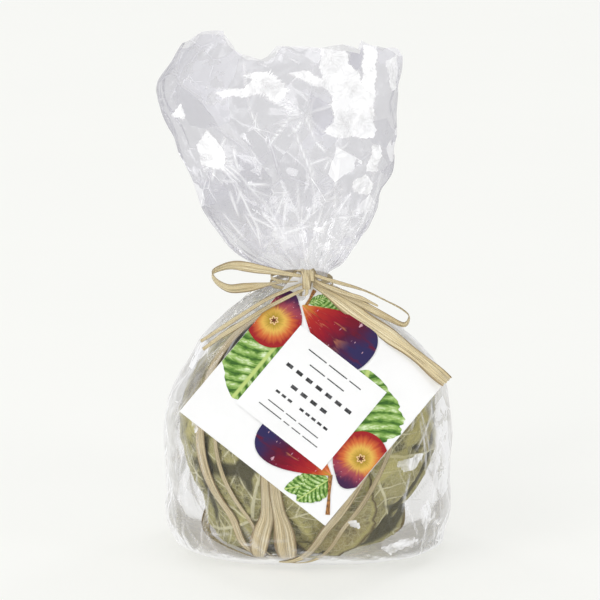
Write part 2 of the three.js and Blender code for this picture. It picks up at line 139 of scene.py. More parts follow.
class Net:
    """A node tree that starts empty."""

    def __init__(self, tree):
        self.tree = tree
        tree.nodes.clear()

    def node(self, kind, settings=None, inputs=None, output=0):
        """Adds a node, sets its own settings, then its sockets, and gives one of its outputs."""
        made = self.tree.nodes.new(kind)
        for key, value in (settings or {}).items():
            if key == "stops":
                ramp = made.color_ramp
                while len(ramp.elements) < len(value):
                    ramp.elements.new(0.5)
                for element, (place, colour) in zip(ramp.elements, value):
                    element.position = place
                    element.color = (*colour, 1)
            else:
                setattr(made, key, value)
        for key, value in (inputs or {}).items():
            if isinstance(value, Wire):
                self.tree.links.new(value.socket, made.inputs[key])
            else:
                made.inputs[key].default_value = value
        return Wire(self, made.outputs[output]) if made.outputs else None

    def mix(self, low, high, share, blend="MIX"):
        """low where share is 0, high where it is 1, for colours."""
        sockets = {0: share, 6: low, 7: high}
        for key in (6, 7):
            if not isinstance(sockets[key], Wire):
                sockets[key] = (*sockets[key], 1)
        return self.node(
            "ShaderNodeMix", {"data_type": "RGBA", "blend_type": blend}, sockets, output=2
        )

    def over(self, colour, *layers):
        """A colour with others laid over it, each (colour, share)."""
        for layer, share in layers:
            colour = self.mix(colour, layer, share)
        return colour

    def ramp(self, value, stops):
        return self.node("ShaderNodeValToRGB", {"stops": stops}, {"Fac": value})

    def noise(self, vector, scale, detail=3.0, rough=0.5, distortion=0.0):
        return self.node(
            "ShaderNodeTexNoise",
            {},
            {
                "Vector": vector,
                "Scale": scale,
                "Detail": detail,
                "Roughness": rough,
                "Distortion": distortion,
            },
        )

    def cells(self, vector, scale, feature="DISTANCE_TO_EDGE", randomness=1.0):
        return self.node(
            "ShaderNodeTexVoronoi",
            {"feature": feature},
            {"Vector": vector, "Scale": scale, "Randomness": randomness},
        )

    def place(self):
        return self.node("ShaderNodeTexCoord", output="Object")

    def uv(self):
        return self.node("ShaderNodeUVMap", {"uv_map": "UVMap"})

    def attribute(self, name, output="Fac"):
        return self.node("ShaderNodeAttribute", {"attribute_name": name}, output=output)

    def vector(self, operation, *values, output=0):
        """Vector arithmetic on sockets or plain triples."""
        inputs = dict(enumerate(values))
        return self.node("ShaderNodeVectorMath", {"operation": operation}, inputs, output)

    def split(self, vector):
        parts = self.node("ShaderNodeSeparateXYZ", {}, {"Vector": vector}).socket.node
        return [Wire(self, parts.outputs[i]) for i in range(3)]

    def join(self, x, y, z):
        return self.node("ShaderNodeCombineXYZ", {}, {0: x, 1: y, 2: z})

    def bump(self, height, strength, distance):
        return self.node(
            "ShaderNodeBump", {}, {"Height": height, "Strength": strength, "Distance": distance}
        )

    def principled(self, **sockets):
        named = {key.replace("_", " "): value for key, value in sockets.items()}
        return self.node("ShaderNodeBsdfPrincipled", {}, named)


class Finish(Net):
    """The node tree of one new material."""

    def __init__(self, name):
        self.material = bpy.data.materials.new(name)
        self.material.use_nodes = True
        super().__init__(self.material.node_tree)

    def done(self, shader):
        self.node("ShaderNodeOutputMaterial", {}, {"Surface": shader})
        return self.material


# ------------------------------------------------------------------ mesh helpers
def new_piece(name, points, faces, material, smooth=True):
    """A mesh object in millimetres of the part's frame, made in metres."""
    mesh = bpy.data.meshes.new(name)
    mesh.from_pydata((np.asarray(points) * MM).tolist(), [], faces)
    mesh.validate()
    mesh.update()
    piece = bpy.data.objects.new(name, mesh)
    bpy.context.scene.collection.objects.link(piece)
    piece.data.materials.append(material)
    mesh.shade_smooth() if smooth else mesh.shade_flat()
    return piece


def grid_faces(rows, columns, wrap):
    """Quads over a grid of points, joined round its columns where wrap is true."""
    last = columns if wrap else columns - 1
    r, c = np.meshgrid(np.arange(rows - 1), np.arange(last), indexing="ij")
    a = r * columns + c
    b = r * columns + (c + 1) % columns
    return np.stack([a, b, b + columns, a + columns], -1).reshape(-1, 4).tolist()


def set_uv(piece, coordinates):
    """Gives each point of a piece its pair of pattern coordinates."""
    layer = piece.data.uv_layers.new(name="UVMap")
    loops = np.empty(len(piece.data.loops), np.int32)
    piece.data.loops.foreach_get("vertex_index", loops)
    layer.data.foreach_set("uv", np.asarray(coordinates, np.float32)[loops].ravel())


def set_values(piece, name, values, kind="FLOAT"):
    """Stores one number, or one vector, for each point of a piece."""
    attribute = piece.data.attributes.new(name, kind, "POINT")
    key = "value" if kind == "FLOAT" else "vector"
    attribute.data.foreach_set(key, np.asarray(values, np.float32).ravel())


def rework(piece, operation):
    """Runs one bmesh operation on all the faces of a piece."""
    shape = bmesh.new()
    shape.from_mesh(piece.data)
    operation(shape, faces=shape.faces)
    shape.to_mesh(piece.data)
    shape.free()


def refinish(node, material):
    """Gives a CAD node one finish in place of its own."""
    node.data.materials.clear()
    node.data.materials.append(material)


def along(stations, place):
    """A smooth value between stations, each (place, value)."""
    x, y = np.array(stations, float).T
    slope = np.gradient(y, x)
    place = np.clip(place, x[0], x[-1])
    k = np.clip(np.searchsorted(x, place, side="right") - 1, 0, len(x) - 2)
    span = x[k + 1] - x[k]
    t = (place - x[k]) / span
    return (
        (2 * t**3 - 3 * t**2 + 1) * y[k]
        + (t**3 - 2 * t**2 + t) * span * slope[k]
        + (3 * t**2 - 2 * t**3) * y[k + 1]
        + (t**3 - t**2) * span * slope[k + 1]
    )


def soft_step(value, low, high):
    t = np.clip((value - low) / (high - low), 0, 1)
    return t * t * (3 - 2 * t)


def catmull(points, count):
    """count points spaced evenly along a smooth curve through the given ones."""
    p = np.array(points, float)
    p = np.vstack([2 * p[0] - p[1], p, 2 * p[-1] - p[-2]])
    t = np.linspace(0, 1, 24, endpoint=False)[:, None]
    runs = []
    for a, b, c, d in zip(p, p[1:], p[2:], p[3:]):
        square, cube = 2 * a - 5 * b + 4 * c - d, 3 * b - a - 3 * c + d
        runs.append(0.5 * (2 * b + (c - a) * t + square * t**2 + cube * t**3))
    fine = np.vstack([*runs, p[-2:-1]])
    gone = np.concatenate([[0], np.cumsum(np.linalg.norm(np.diff(fine, axis=0), axis=1))])
    at = np.linspace(0, gone[-1], count)
    return np.stack([np.interp(at, gone, fine[:, i]) for i in range(3)], 1)


def unit(vectors):
    return vectors / np.linalg.norm(vectors, axis=-1, keepdims=True)


def from_run(x, y, start, end):
    """How far along a straight run each point lies, from 0 to 1, and how far away from it."""
    across, up = end[0] - start[0], end[1] - start[1]
    t = np.clip(((x - start[0]) * across + (y - start[1]) * up) / (across**2 + up**2), 0, 1)
    return t, np.hypot(x - start[0] - t * across, y - start[1] - t * up)


# ------------------------------------------------------------------ the ball's layers
def ball_point(direction, lift):
    """The points that lie lift outside the pressed figs in these directions."""
    x, y, z = np.moveaxis(direction, -1, 0)
    lumps = np.sin(3.1 * x + 1.3) * np.cos(2.7 * z - 0.4) + np.sin(3.7 * y + 2.1 * x + 0.6)
    high = np.where(z > 0, (CORE_RADIUS + lift) / (CORE_HIGH + lift), 1.0)
    stretched = np.sqrt(x * x + y * y + (z * high) ** 2)
    round_reach = (CORE_RADIUS + lift) / stretched * (1 + LUMP * lumps)
    flat_reach = np.where(z < -0.05, (CORE_FLAT + lift) / np.maximum(-z, 0.05), 1e6)
    reach = (round_reach**-FLAT_SHARPNESS + flat_reach**-FLAT_SHARPNESS) ** (-1 / FLAT_SHARPNESS)
    point = direction * reach[..., None] + BALL_CENTRE
    spread = 1 + BASE_SPREAD * np.clip(1 - point[..., 2] / BASE_HEIGHT, 0, None) ** 2
    settled = SETTLE + (1 - SETTLE) * soft_step(point[..., 2], 5, 16)
    point = point * np.stack([spread * SIDE_BULGE, spread, np.ones_like(spread)], -1)
    point[..., 2] = FLOOR_GAP + (point[..., 2] - FLOOR_GAP) * settled
    return point


def square_to(direction, hint=(0, 0, 1)):
    """Two directions square to a direction and to each other."""
    across = unit(np.cross(hint, direction))
    return across, np.cross(direction, across)


# ------------------------------------------------------------------ sizes and colours to change
def number_setting(name, description, default, **kind):
    return FloatProperty(name=name, description=description, default=default, **kind)


def length_setting(name, description, default, **limits):
    """A length in metres."""
    return number_setting(name, description, default, subtype="DISTANCE", unit="LENGTH", **limits)


def colour_setting(name, description, default):
    limits = {"size": 3, "min": 0, "max": 1, "subtype": "COLOR"}
    return FloatVectorProperty(name=name, description=description, default=default, **limits)


def seed_setting(description, default):
    return IntProperty(name="Seed", description=description, default=default)


class FilmSettings(bpy.types.PropertyGroup):
    """The clear bag's film."""

    facet: length_setting(
        "Facet size", "How far the film's large creases lie apart", 0.018, min=0.005
    )
    crease: length_setting("Crease depth", "How far the large facets stand in and out", 0.0022)
    tint: colour_setting(
        "Tint", "The colour that light keeps through one layer of film", (0.955, 0.952, 0.962)
    )
    seed: seed_setting("Picks another set of creases", 4)


class LeafSettings(bpy.types.PropertyGroup):
    """The dried fig leaves."""

    olive: colour_setting("Leaf", "The main colour of a dried leaf", (0.39, 0.355, 0.135))
    rib: colour_setting("Ribs", "The colour of a leaf's ribs", (0.8, 0.76, 0.5))
    rib_height: length_setting("Rib height", "How far the main ribs stand out of a leaf", 0.0004)
    seed: seed_setting("Picks other folds and blotches", 11)


class RaffiaSettings(bpy.types.PropertyGroup):
    """The raffia ribbons."""

    straw: colour_setting("Straw", "The raffia's main colour", (0.84, 0.7, 0.41))
    flatness: number_setting(
        "Flatness",
        "A ribbon's thickness as a share of its width",
        0.1,
        min=0.02,
        max=1,
        subtype="FACTOR",
    )
    groove: number_setting(
        "Groove depth",
        "Depth of the lengthwise grooves, as a share of the half width",
        0.15,
        min=0,
        max=0.5,
        subtype="FACTOR",
    )
    seed: seed_setting("Picks other grooves", 3)


class TagSettings(bpy.types.PropertyGroup):
    """The card tag and what is printed on it."""

    card: colour_setting("Card", "The colour of the card", (0.9, 0.9, 0.9))
    panel_width: length_setting("Panel width", "Width of the ruled panel in the middle", 0.0365)
    panel_height: length_setting("Panel height", "Height of the ruled panel in the middle", 0.034)


class StageSettings(bpy.types.PropertyGroup):
    """The camera and the light."""

    elevation: number_setting(
        "Camera elevation",
        "How far the camera looks down",
        math.radians(15),
        subtype="ANGLE",
        unit="ROTATION",
    )
    distance: length_setting("Camera distance", "From the camera to what it looks at", 3.0)
    view_width: length_setting("View width", "Width of the view at the object", 0.2)
    floor: colour_setting("Floor", "The floor's colour", (0.94, 0.945, 0.915))


class GiftSettings(bpy.types.PropertyGroup):
    """Every piece's settings."""

    film: PointerProperty(type=FilmSettings)
    leaf: PointerProperty(type=LeafSettings)
    raffia: PointerProperty(type=RaffiaSettings)
    tag: PointerProperty(type=TagSettings)
    stage: PointerProperty(type=StageSettings)


# ------------------------------------------------------------------ baked figs
def baked_fig_material():
    net = Finish("baked fig")
    place = net.place()
    mottle = net.noise(place, 90, 5, 0.6)
    furrow = net.cells(net.vector("MULTIPLY", place, (1, 1, 0.45)), 260).smooth(0.0, 0.12)
    skin = net.mix((0.055, 0.022, 0.012), (0.17, 0.075, 0.03), mottle.smooth(0.35, 0.7))
    # Painted shade: darker skin in the furrows.
    skin = net.mix((0.03, 0.012, 0.008), skin, furrow)
    syrup = net.noise(place, 40, 3)
    height = furrow * 0.6 + mottle * 0.4
    return net.done(
        net.principled(
            Base_Color=skin,
            Roughness=0.62 - syrup.smooth(0.4, 0.7) * 0.3,
            Normal=net.bump(height, 0.6, 0.0006),
        )
    )


class FIGBALL_OT_figs(bpy.types.Operator):
    """Give the pressed baked figs their wrinkled, syrupy skin"""

    bl_idname = "figball.figs"
    bl_label = "Baked figs"

    def execute(self, context):
        skin = baked_fig_material()
        for name, node in NODES.items():
            if name.startswith("fig_"):
                refinish(node, skin)
        return {"FINISHED"}


# ------------------------------------------------------------------ fig leaves
# The way each leaf's middle faces, how it is turned, its reach in degrees and its layer.
LEAVES = {
    "leaf_base": ((0.1, 0.15, -1), 0.4, 68, 0),
    "leaf_back": ((0.25, 1, 0.25), 2.2, 72, 1),
    "leaf_crown": ((-0.1, 0.1, 1), 1.1, 66, 2),
    "leaf_right": ((0.9, -0.55, -0.1), 0.2, 80, 3),
    "leaf_left": ((-0.75, -0.8, -0.05), 1.9, 82, 4),
}
LOBES = 5
# A leaf's points from its middle to its edge, and round it.
LEAF_GRID = (112, 520)
# A main rib's half width as a share of the leaf's reach.
RIB_WIDTH = 0.0085
FOLDS = 22
# In millimetres: the folds' depth, the edge's ruffle and curl, and the gap under a leaf.
FOLD_DEPTH = 0.75
RUFFLE = 0.2
CURL = 0.9
UNDER_GAP = 0.4


def leaf_outline(angle, turn, rng):
    """Reach of a leaf's edge by angle: five blunt lobes with a toothed edge, as a share."""
    lobes = 1 - 0.15 * np.abs(np.sin(LOBES / 2 * (angle - turn))) ** 1.5
    teeth = sum(
        rng.uniform(0.3, 1) / k * np.sin(k * angle + rng.uniform(0, 2 * math.pi))
        for k in (23, 37, 61, 83)
    )
    return lobes * (1 + 0.25 * teeth)


def leaf_ribs(turn, rng):
    """A leaf's ribs as short straight runs: (start, end, width) in shares of its reach."""
    runs = []
    foot = -0.45 * np.array([math.cos(turn), math.sin(turn)])
    for lobe in range(LOBES):
        angle = turn + (lobe - LOBES // 2) * 2 * math.pi / LOBES * 0.86
        tip = 0.93 * np.array([math.cos(angle), math.sin(angle)])
        sway = np.array([-math.sin(angle), math.cos(angle)]) * rng.uniform(-0.05, 0.05)

        def at(t):
            return foot + (tip - foot) * t + sway * math.sin(math.pi * t)

        main = [at(t) for t in np.linspace(0, 1, 9)]
        for k, (a, b) in enumerate(zip(main, main[1:])):
            runs.append((a, b, 1 - 0.085 * k))
        reach = np.linalg.norm(tip - foot)
        for side in (-1, 1):
            for t in np.arange(0.16, 0.92, 0.105):
                t = t + rng.uniform(-0.02, 0.02)
                way = unit(tip - foot)
                lean = side * math.radians(rng.uniform(46, 60))
                long = reach * (0.36 - 0.26 * t) * rng.uniform(0.85, 1.1)
                here = at(t)
                for step in range(4):
                    bend = lean * (1 - 0.14 * step)
                    c, s = math.cos(bend), math.sin(bend)
                    turned = np.array([way[0] * c - way[1] * s, way[0] * s + way[1] * c])
                    there = here + turned * long / 4
                    runs.append((here, there, 0.5 - 0.08 * step))
                    here = there
    return runs


def rib_mask(points, runs, width):
    """How strongly each point lies on a rib, from 0 to 1."""
    mask = np.zeros(len(points))
    for start, end, strength in runs:
        _, gap = from_run(*points.T, start, end)
        share = 0.35 + 0.65 * strength
        mask = np.maximum(mask, share * np.exp(-((gap / (width * share)) ** 2)))
    return mask


def leaf_folds(points, rng, count):
    """Long sharp folds over a leaf, in shares of the deepest."""
    height = np.zeros(len(points))
    for _ in range(count):
        angle = rng.uniform(0, math.pi)
        across = np.array([math.cos(angle), math.sin(angle)])
        middle = rng.uniform(-0.7, 0.7, 2)
        bend = rng.uniform(-0.5, 0.5)
        offset = (points - middle) @ across
        run = (points - middle) @ np.array([-across[1], across[0]])
        offset = offset + bend * run * run
        reach = rng.uniform(0.04, 0.09)
        fade = np.exp(-((run / rng.uniform(0.25, 0.6)) ** 2))
        height += rng.choice([-1, 1]) * np.clip(1 - np.abs(offset) / reach, 0, 1) * fade
    return height


def leaf_material(settings):
    net = Finish("dried fig leaf")
    place = net.place()
    rib = net.attribute("rib")
    fold = net.attribute("fold")
    blotch = net.noise(place, 85, 6, 0.68, 0.4)
    fine = net.noise(place, 460, 3, 0.6)
    veins = net.cells(place, 420).smooth(0.0, 0.09)
    small_veins = net.cells(place, 900).smooth(0.0, 0.14)
    olive = Vector(settings.olive)
    ribs = tuple(settings.rib)
    pits = 1 - net.noise(place, 300, 4, 0.7).smooth(0.3, 0.38)
    wrinkle = abs(net.noise(place, 62, 4, 0.6, 0.9) - 0.5).smooth(0.0, 0.035)
    blade = net.over(
        tuple(olive * 0.36),
        (tuple(olive), blotch.smooth(0.38, 0.48)),
        (tuple(olive * 1.45), blotch.smooth(0.5, 0.66) * 0.8),
        (tuple(olive * 0.25), pits * 0.8),
    )
    # Painted shade: a dark line along each wrinkle.
    blade = net.mix(tuple(olive * 0.22), blade, wrinkle * 0.4 + 0.6)
    blade = net.mix(blade, (0.3, 0.21, 0.09), net.noise(place, 22, 3).smooth(0.54, 0.7) * 0.5)
    blade = net.mix(net.mix(blade, ribs, 0.5), blade, veins * 0.6 + small_veins * 0.4)
    edge = net.attribute("edge")
    blade = net.over(
        blade,
        (ribs, rib.smooth(0.12, 0.6) * 0.95),
        # Painted shade in the fold valleys and painted highlight on the fold ridges.
        (tuple(olive * 0.14), (0 - fold).smooth(0.25, 0.8) * 0.9),
        (tuple(olive * 1.8), fold.smooth(0.45, 1.0) * 0.5),
        # Painted highlight as a pale rim, and a painted shadow as a dark line at the very edge.
        (tuple(olive * 1.35), edge.smooth(0.955, 0.975) * 0.6),
        ((0.1, 0.065, 0.02), edge.smooth(0.975, 0.995) * 0.85),
    )
    height = rib * 0.5 + wrinkle * 0.12 + small_veins * -0.1 + veins * -0.16
    height = height + fine * 0.14 + blotch * 0.5
    return net.done(
        net.principled(
            Base_Color=blade,
            Roughness=0.58 - rib * 0.1 + fine * 0.1,
            Normal=net.bump(height, 0.9, 0.0009),
        )
    )


def make_leaf(name, material, settings):
    faces_way, turn, reach, layer = LEAVES[name]
    rng = np.random.default_rng(settings.seed + layer)
    rows, columns = LEAF_GRID
    share = np.linspace(0, 1, rows)[:, None] ** 0.9
    angle = np.linspace(0, 2 * math.pi, columns, endpoint=False)[None, :]
    outline = leaf_outline(angle, turn, rng)
    flat = np.stack(
        [share * outline * np.cos(angle), share * outline * np.sin(angle)], -1
    ).reshape(-1, 2)
    ribs = rib_mask(flat, leaf_ribs(turn, rng), RIB_WIDTH)
    folds = leaf_folds(flat, rng, FOLDS)
    edge = np.broadcast_to(share, (rows, columns)).ravel()

    middle = unit(np.array(faces_way, float))
    across, up = square_to(middle, (0.3, 0.2, 1))
    spread = np.linalg.norm(flat, axis=1)
    lean = math.radians(reach) * spread
    way = np.where(spread > 0, 1 / np.maximum(spread, 1e-9), 0)[:, None] * flat
    outwards = way[:, :1] * across + way[:, 1:] * up
    direction = np.cos(lean)[:, None] * middle + np.sin(lean)[:, None] * outwards
    ruffle = sum(
        np.sin(k * np.tile(angle.ravel(), rows) + rng.uniform(0, 6)) for k in (7, 13, 22)
    )
    lift = (
        FIRST_LEAF
        + layer * LAYER_PITCH
        + ribs * settings.rib_height / MM
        + UNDER_GAP
        + folds * FOLD_DEPTH
        + RUFFLE * ruffle * soft_step(edge, 0.7, 1)
        + CURL * soft_step(edge, 0.86, 1) ** 2
    )
    points = ball_point(direction, lift)
    # One point closes the middle, in place of the first row.
    points = np.vstack([points[:1], points[columns:]])
    fan = [[0, 1 + i, 1 + (i + 1) % columns] for i in range(columns)]
    faces = fan + [[v + 1 for v in face] for face in grid_faces(rows - 1, columns, True)]
    piece = new_piece(name.replace("leaf", "fig_leaf"), points, faces, material)
    for key, values in (("rib", ribs), ("edge", edge), ("fold", folds)):
        set_values(piece, key, np.concatenate([values[:1], values[columns:]]))
    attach(piece, "root")
    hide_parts(name)
    return piece


class FIGBALL_OT_leaves(bpy.types.Operator):
    """Lay the dried fig leaves over the ball, with ribs, folds and toothed lobes"""

    bl_idname = "figball.leaves"
    bl_label = "Fig leaves"

    def execute(self, context):
        settings = context.scene.figball.leaf
        material = leaf_material(settings)
        for name in LEAVES:
            make_leaf(name, material, settings)
        return {"FINISHED"}


# ------------------------------------------------------------------ raffia
# Points round a ribbon's section, round a strand on the ball and along a bow strand.
SECTION_POINTS = 22
LOOP_POINTS = 300
STRAND_POINTS = 130


def raffia_material(settings):
    net = Finish("raffia straw")
    run = net.attribute("along")
    side = net.attribute("side")
    turned = net.noise(net.join(side * 2, run * 30, 9), 1.0, 2) * 0.5
    lane = side * 3 + turned
    streak = net.noise(net.join(lane * 2.6, run * 26, 0), 1.0, 4, 0.7)
    hair = net.noise(net.join(lane * 11, run * 40, 3), 1.0, 3, 0.65)
    blotch = net.noise(net.place(), 75, 3)
    straw = Vector(settings.straw)
    colour = net.over(
        tuple(straw * 0.45),
        (tuple(straw), streak.smooth(0.34, 0.5)),
        ((0.97, 0.91, 0.7), streak.smooth(0.5, 0.62)),
        ((0.22, 0.13, 0.045), hair.smooth(0.52, 0.6) * 0.85),
        ((0.6, 0.43, 0.18), blotch.smooth(0.55, 0.78) * 0.35),
        # Painted shade: dark brown towards both edges of the ribbon.
        ((0.24, 0.145, 0.05), abs(side).smooth(0.72, 0.94) * 0.8),
    )
    height = streak * 0.6 + hair * 0.4
    return net.done(
        net.principled(
            Base_Color=colour,
            Roughness=0.46 + hair * 0.15,
            Normal=net.bump(height, 0.85, 0.0006),
        )
    )


def ribbon_tree():
    """Geometry nodes that sweep a fibrous flat section along a path. The path's points hold
    half_width, in metres, and broad, the way the width runs."""
    tree = bpy.data.node_groups.new("Raffia ribbon", "GeometryNodeTree")
    for name, kind in (
        ("Path", "Geometry"),
        ("Flatness", "Float"),
        ("Groove depth", "Float"),
        ("Section points", "Int"),
        ("Seed", "Int"),
        ("Finish", "Material"),
    ):
        tree.interface.new_socket(name, in_out="INPUT", socket_type="NodeSocket" + kind)
    tree.interface.new_socket("Ribbon", in_out="OUTPUT", socket_type="NodeSocketGeometry")
    net = Net(tree)

    def given(name):
        return net.node("NodeGroupInput", output=name)

    def stored(name, kind="FLOAT"):
        settings = {"data_type": kind}
        return net.node("GeometryNodeInputNamedAttribute", settings, {"Name": name}, "Attribute")

    def store(geometry, name, value):
        return net.node(
            "GeometryNodeStoreNamedAttribute",
            {"data_type": "FLOAT", "domain": "POINT"},
            {"Geometry": geometry, "Name": name, "Value": value},
        )

    curve = net.node("GeometryNodeMeshToCurve", {}, {0: given("Path")})
    curve = net.node(
        "GeometryNodeSetCurveNormal",
        {"mode": "FREE"},
        {"Curve": curve, "Normal": stored("broad", "FLOAT_VECTOR")},
    )
    curve = store(curve, "along", net.node("GeometryNodeSplineParameter", output="Length"))
    circle = net.node(
        "GeometryNodeCurvePrimitiveCircle",
        {},
        {"Resolution": given("Section points"), "Radius": 1.0},
    )
    scale = net.join(1.0, given("Flatness"), 1.0)
    section = net.node("GeometryNodeTransform", {}, {"Geometry": circle, "Scale": scale})
    section = store(section, "side", net.split(net.node("GeometryNodeInputPosition"))[0])
    mesh = net.node(
        "GeometryNodeCurveToMesh",
        {},
        {
            "Curve": curve,
            "Profile Curve": section,
            "Scale": stored("half_width"),
            "Fill Caps": True,
        },
    )
    # Lengthwise grooves: noise that changes fast across the ribbon and slowly along it.
    lane = net.join(stored("side") * 4.0, stored("along") * 55.0, given("Seed"))
    depth = (net.noise(lane, 1.0, 2.0) - 0.5) * given("Groove depth") * stored("half_width")
    push = net.node(
        "ShaderNodeVectorMath",
        {"operation": "SCALE"},
        {0: net.node("GeometryNodeInputNormal"), "Scale": depth * 4.0},
    )
    mesh = net.node("GeometryNodeSetPosition", {}, {"Geometry": mesh, "Offset": push})
    mesh = net.node("GeometryNodeSetShadeSmooth", {}, {"Geometry": mesh})
    mesh = net.node("GeometryNodeRealizeInstances", {}, {"Geometry": mesh})
    finish = {"Geometry": mesh, "Material": given("Finish")}
    net.node("NodeGroupOutput", {}, {"Ribbon": net.node("GeometryNodeSetMaterial", {}, finish)})
    return tree


def run_nodes(piece, tree, values):
    """Runs a geometry node tree on a piece once, and gives the plain mesh that comes out."""
    modifier = piece.modifiers.new(tree.name, "NODES")
    modifier.node_group = tree
    sockets = {s.name: s.identifier for s in tree.interface.items_tree if s.in_out == "INPUT"}
    for name, value in values.items():
        modifier[sockets[name]] = value
    depsgraph = bpy.context.evaluated_depsgraph_get()
    mesh = bpy.data.meshes.new_from_object(piece.evaluated_get(depsgraph))
    piece.modifiers.remove(modifier)
    return mesh


def raffia_kit(settings):
    """What every ribbon is made with: the node tree, the straw and the settings."""
    tree = bpy.data.node_groups.get("Raffia ribbon") or ribbon_tree()
    material = bpy.data.materials.get("raffia straw") or raffia_material(settings)
    return tree, material, settings


def make_ribbon(name, path, half_width, broad, kit, seed=0, closed=False):
    """A raffia ribbon along path, in millimetres, with its half width and the way its width
    runs given at each point."""
    tree, material, settings = kit
    path = np.asarray(path, float)
    count = len(path)
    edges = [(i, i + 1) for i in range(count - 1)]
    if closed:
        edges.append((count - 1, 0))
    mesh = bpy.data.meshes.new(name + " path")
    mesh.from_pydata((path * MM).tolist(), edges, [])
    piece = bpy.data.objects.new(name, mesh)
    bpy.context.scene.collection.objects.link(piece)
    set_values(piece, "half_width", np.broadcast_to(half_width, count) * MM)
    set_values(piece, "broad", np.broadcast_to(broad, (count, 3)), "FLOAT_VECTOR")
    piece.data = run_nodes(
        piece,
        tree,
        {
            "Flatness": settings.flatness,
            "Groove depth": settings.groove,
            "Section points": SECTION_POINTS,
            "Seed": settings.seed + seed,
            "Finish": material,
        },
    )
    bpy.data.meshes.remove(mesh)
    piece.data.name = name
    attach(piece, "root")
    return piece


CROSSING = unit(np.array([-0.175, -0.42, -0.89]))
# Each strand's bearing round the crossings, then its side offset and its width by the distance
# from the nearer crossing, and its layer and extra lift.
STRANDS = {
    "binding_left_wide": (
        27, [(0, 1.5), (12, 3.2), (26, 4.6), (58, 4.6)],
        [(0, 1.8), (10, 3.4), (26, 4.3), (58, 4.0)], 0, 0,
    ),
    "binding_left_narrow": (
        27, [(0, -1.2), (12, -2), (58, -2.4)], [(0, 1.1), (14, 1.9), (58, 1.7)], 0, 0.1,
    ),
    "binding_front_left": (
        -8, [(0, 3.3), (9, 3.4), (24, 1.5), (58, 2.2)],
        [(0, 1.5), (3, 3.6), (9, 6.4), (24, 4.6), (58, 4.5)], 1, 0,
    ),
    "binding_front_right": (
        -8, [(0, -3.6), (9, -3.2), (24, -1.3), (58, -2.2)],
        [(0, 1.5), (3, 3.8), (9, 6.9), (24, 5.0), (58, 4.5)], 1, 0.5,
    ),
    "binding_right_wide": (
        -57, [(0, 1.0), (14, 1.5), (58, 1.8)], [(0, 1.6), (12, 2.9), (58, 3.2)], 2, 0,
    ),
    "binding_right_narrow": (
        -57, [(0, -1.2), (14, -1.9), (58, -2.2)], [(0, 0.9), (12, 1.6), (58, 1.6)], 2, 0.1,
    ),
}


class FIGBALL_OT_bindings(bpy.types.Operator):
    """Wind the raffia strands round the leaf-wrapped ball and knot them at the back"""

    bl_idname = "figball.bindings"
    bl_label = "Ball raffia"

    def execute(self, context):
        settings = context.scene.figball.raffia
        kit = raffia_kit(settings)
        right, high = square_to(CROSSING)
        rng = np.random.default_rng(settings.seed)
        for seed, (name, strand) in enumerate(STRANDS.items()):
            bearing, offsets, widths, layer, extra = strand
            turn = math.radians(bearing)
            outwards = high * math.cos(turn) - right * math.sin(turn)
            sideways = np.cross(CROSSING, outwards)
            angle = np.linspace(0, 2 * math.pi, LOOP_POINTS, endpoint=False)
            gone = CORE_RADIUS * np.arccos(np.abs(np.cos(angle)))
            sway = 0.3 * np.sin(3 * angle + rng.uniform(0, 6)) + 0.2 * np.sin(8 * angle)
            offset = along(offsets, gone) + sway * soft_step(gone, 2, 12)
            way = unit(
                np.cos(angle)[:, None] * CROSSING
                + np.sin(angle)[:, None] * outwards
                + (offset / CORE_RADIUS)[:, None] * sideways
            )
            lift = BINDING_START + layer * BINDING_PITCH + 0.2 + extra
            path = ball_point(way, np.full(len(way), lift))
            swell = 1 + 0.06 * np.sin(5 * angle + rng.uniform(0, 6))
            half = along(widths, gone) / 2 * swell
            title = name.replace("binding", "ball_raffia")
            piece = make_ribbon(title, path, half, sideways, kit, seed, closed=True)
            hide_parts(name)
        refinish(NODES["binding_knot"], kit[1])
        return {"FINISHED"}


# ------------------------------------------------------------------ the tag's frame
TAG_AXES = np.array(
    [
        [1, 0, 0],
        [0, math.sin(TAG_LEAN), math.cos(TAG_LEAN)],
        [0, -math.cos(TAG_LEAN), math.sin(TAG_LEAN)],
    ]
)


def on_tag(points):
    """Points given right of the ball's middle, up the lean and out from the tag's back."""
    points = np.asarray(points, float)
    return (points + [0, 0, TAG_STANDOFF]) @ TAG_AXES + BALL_CENTRE


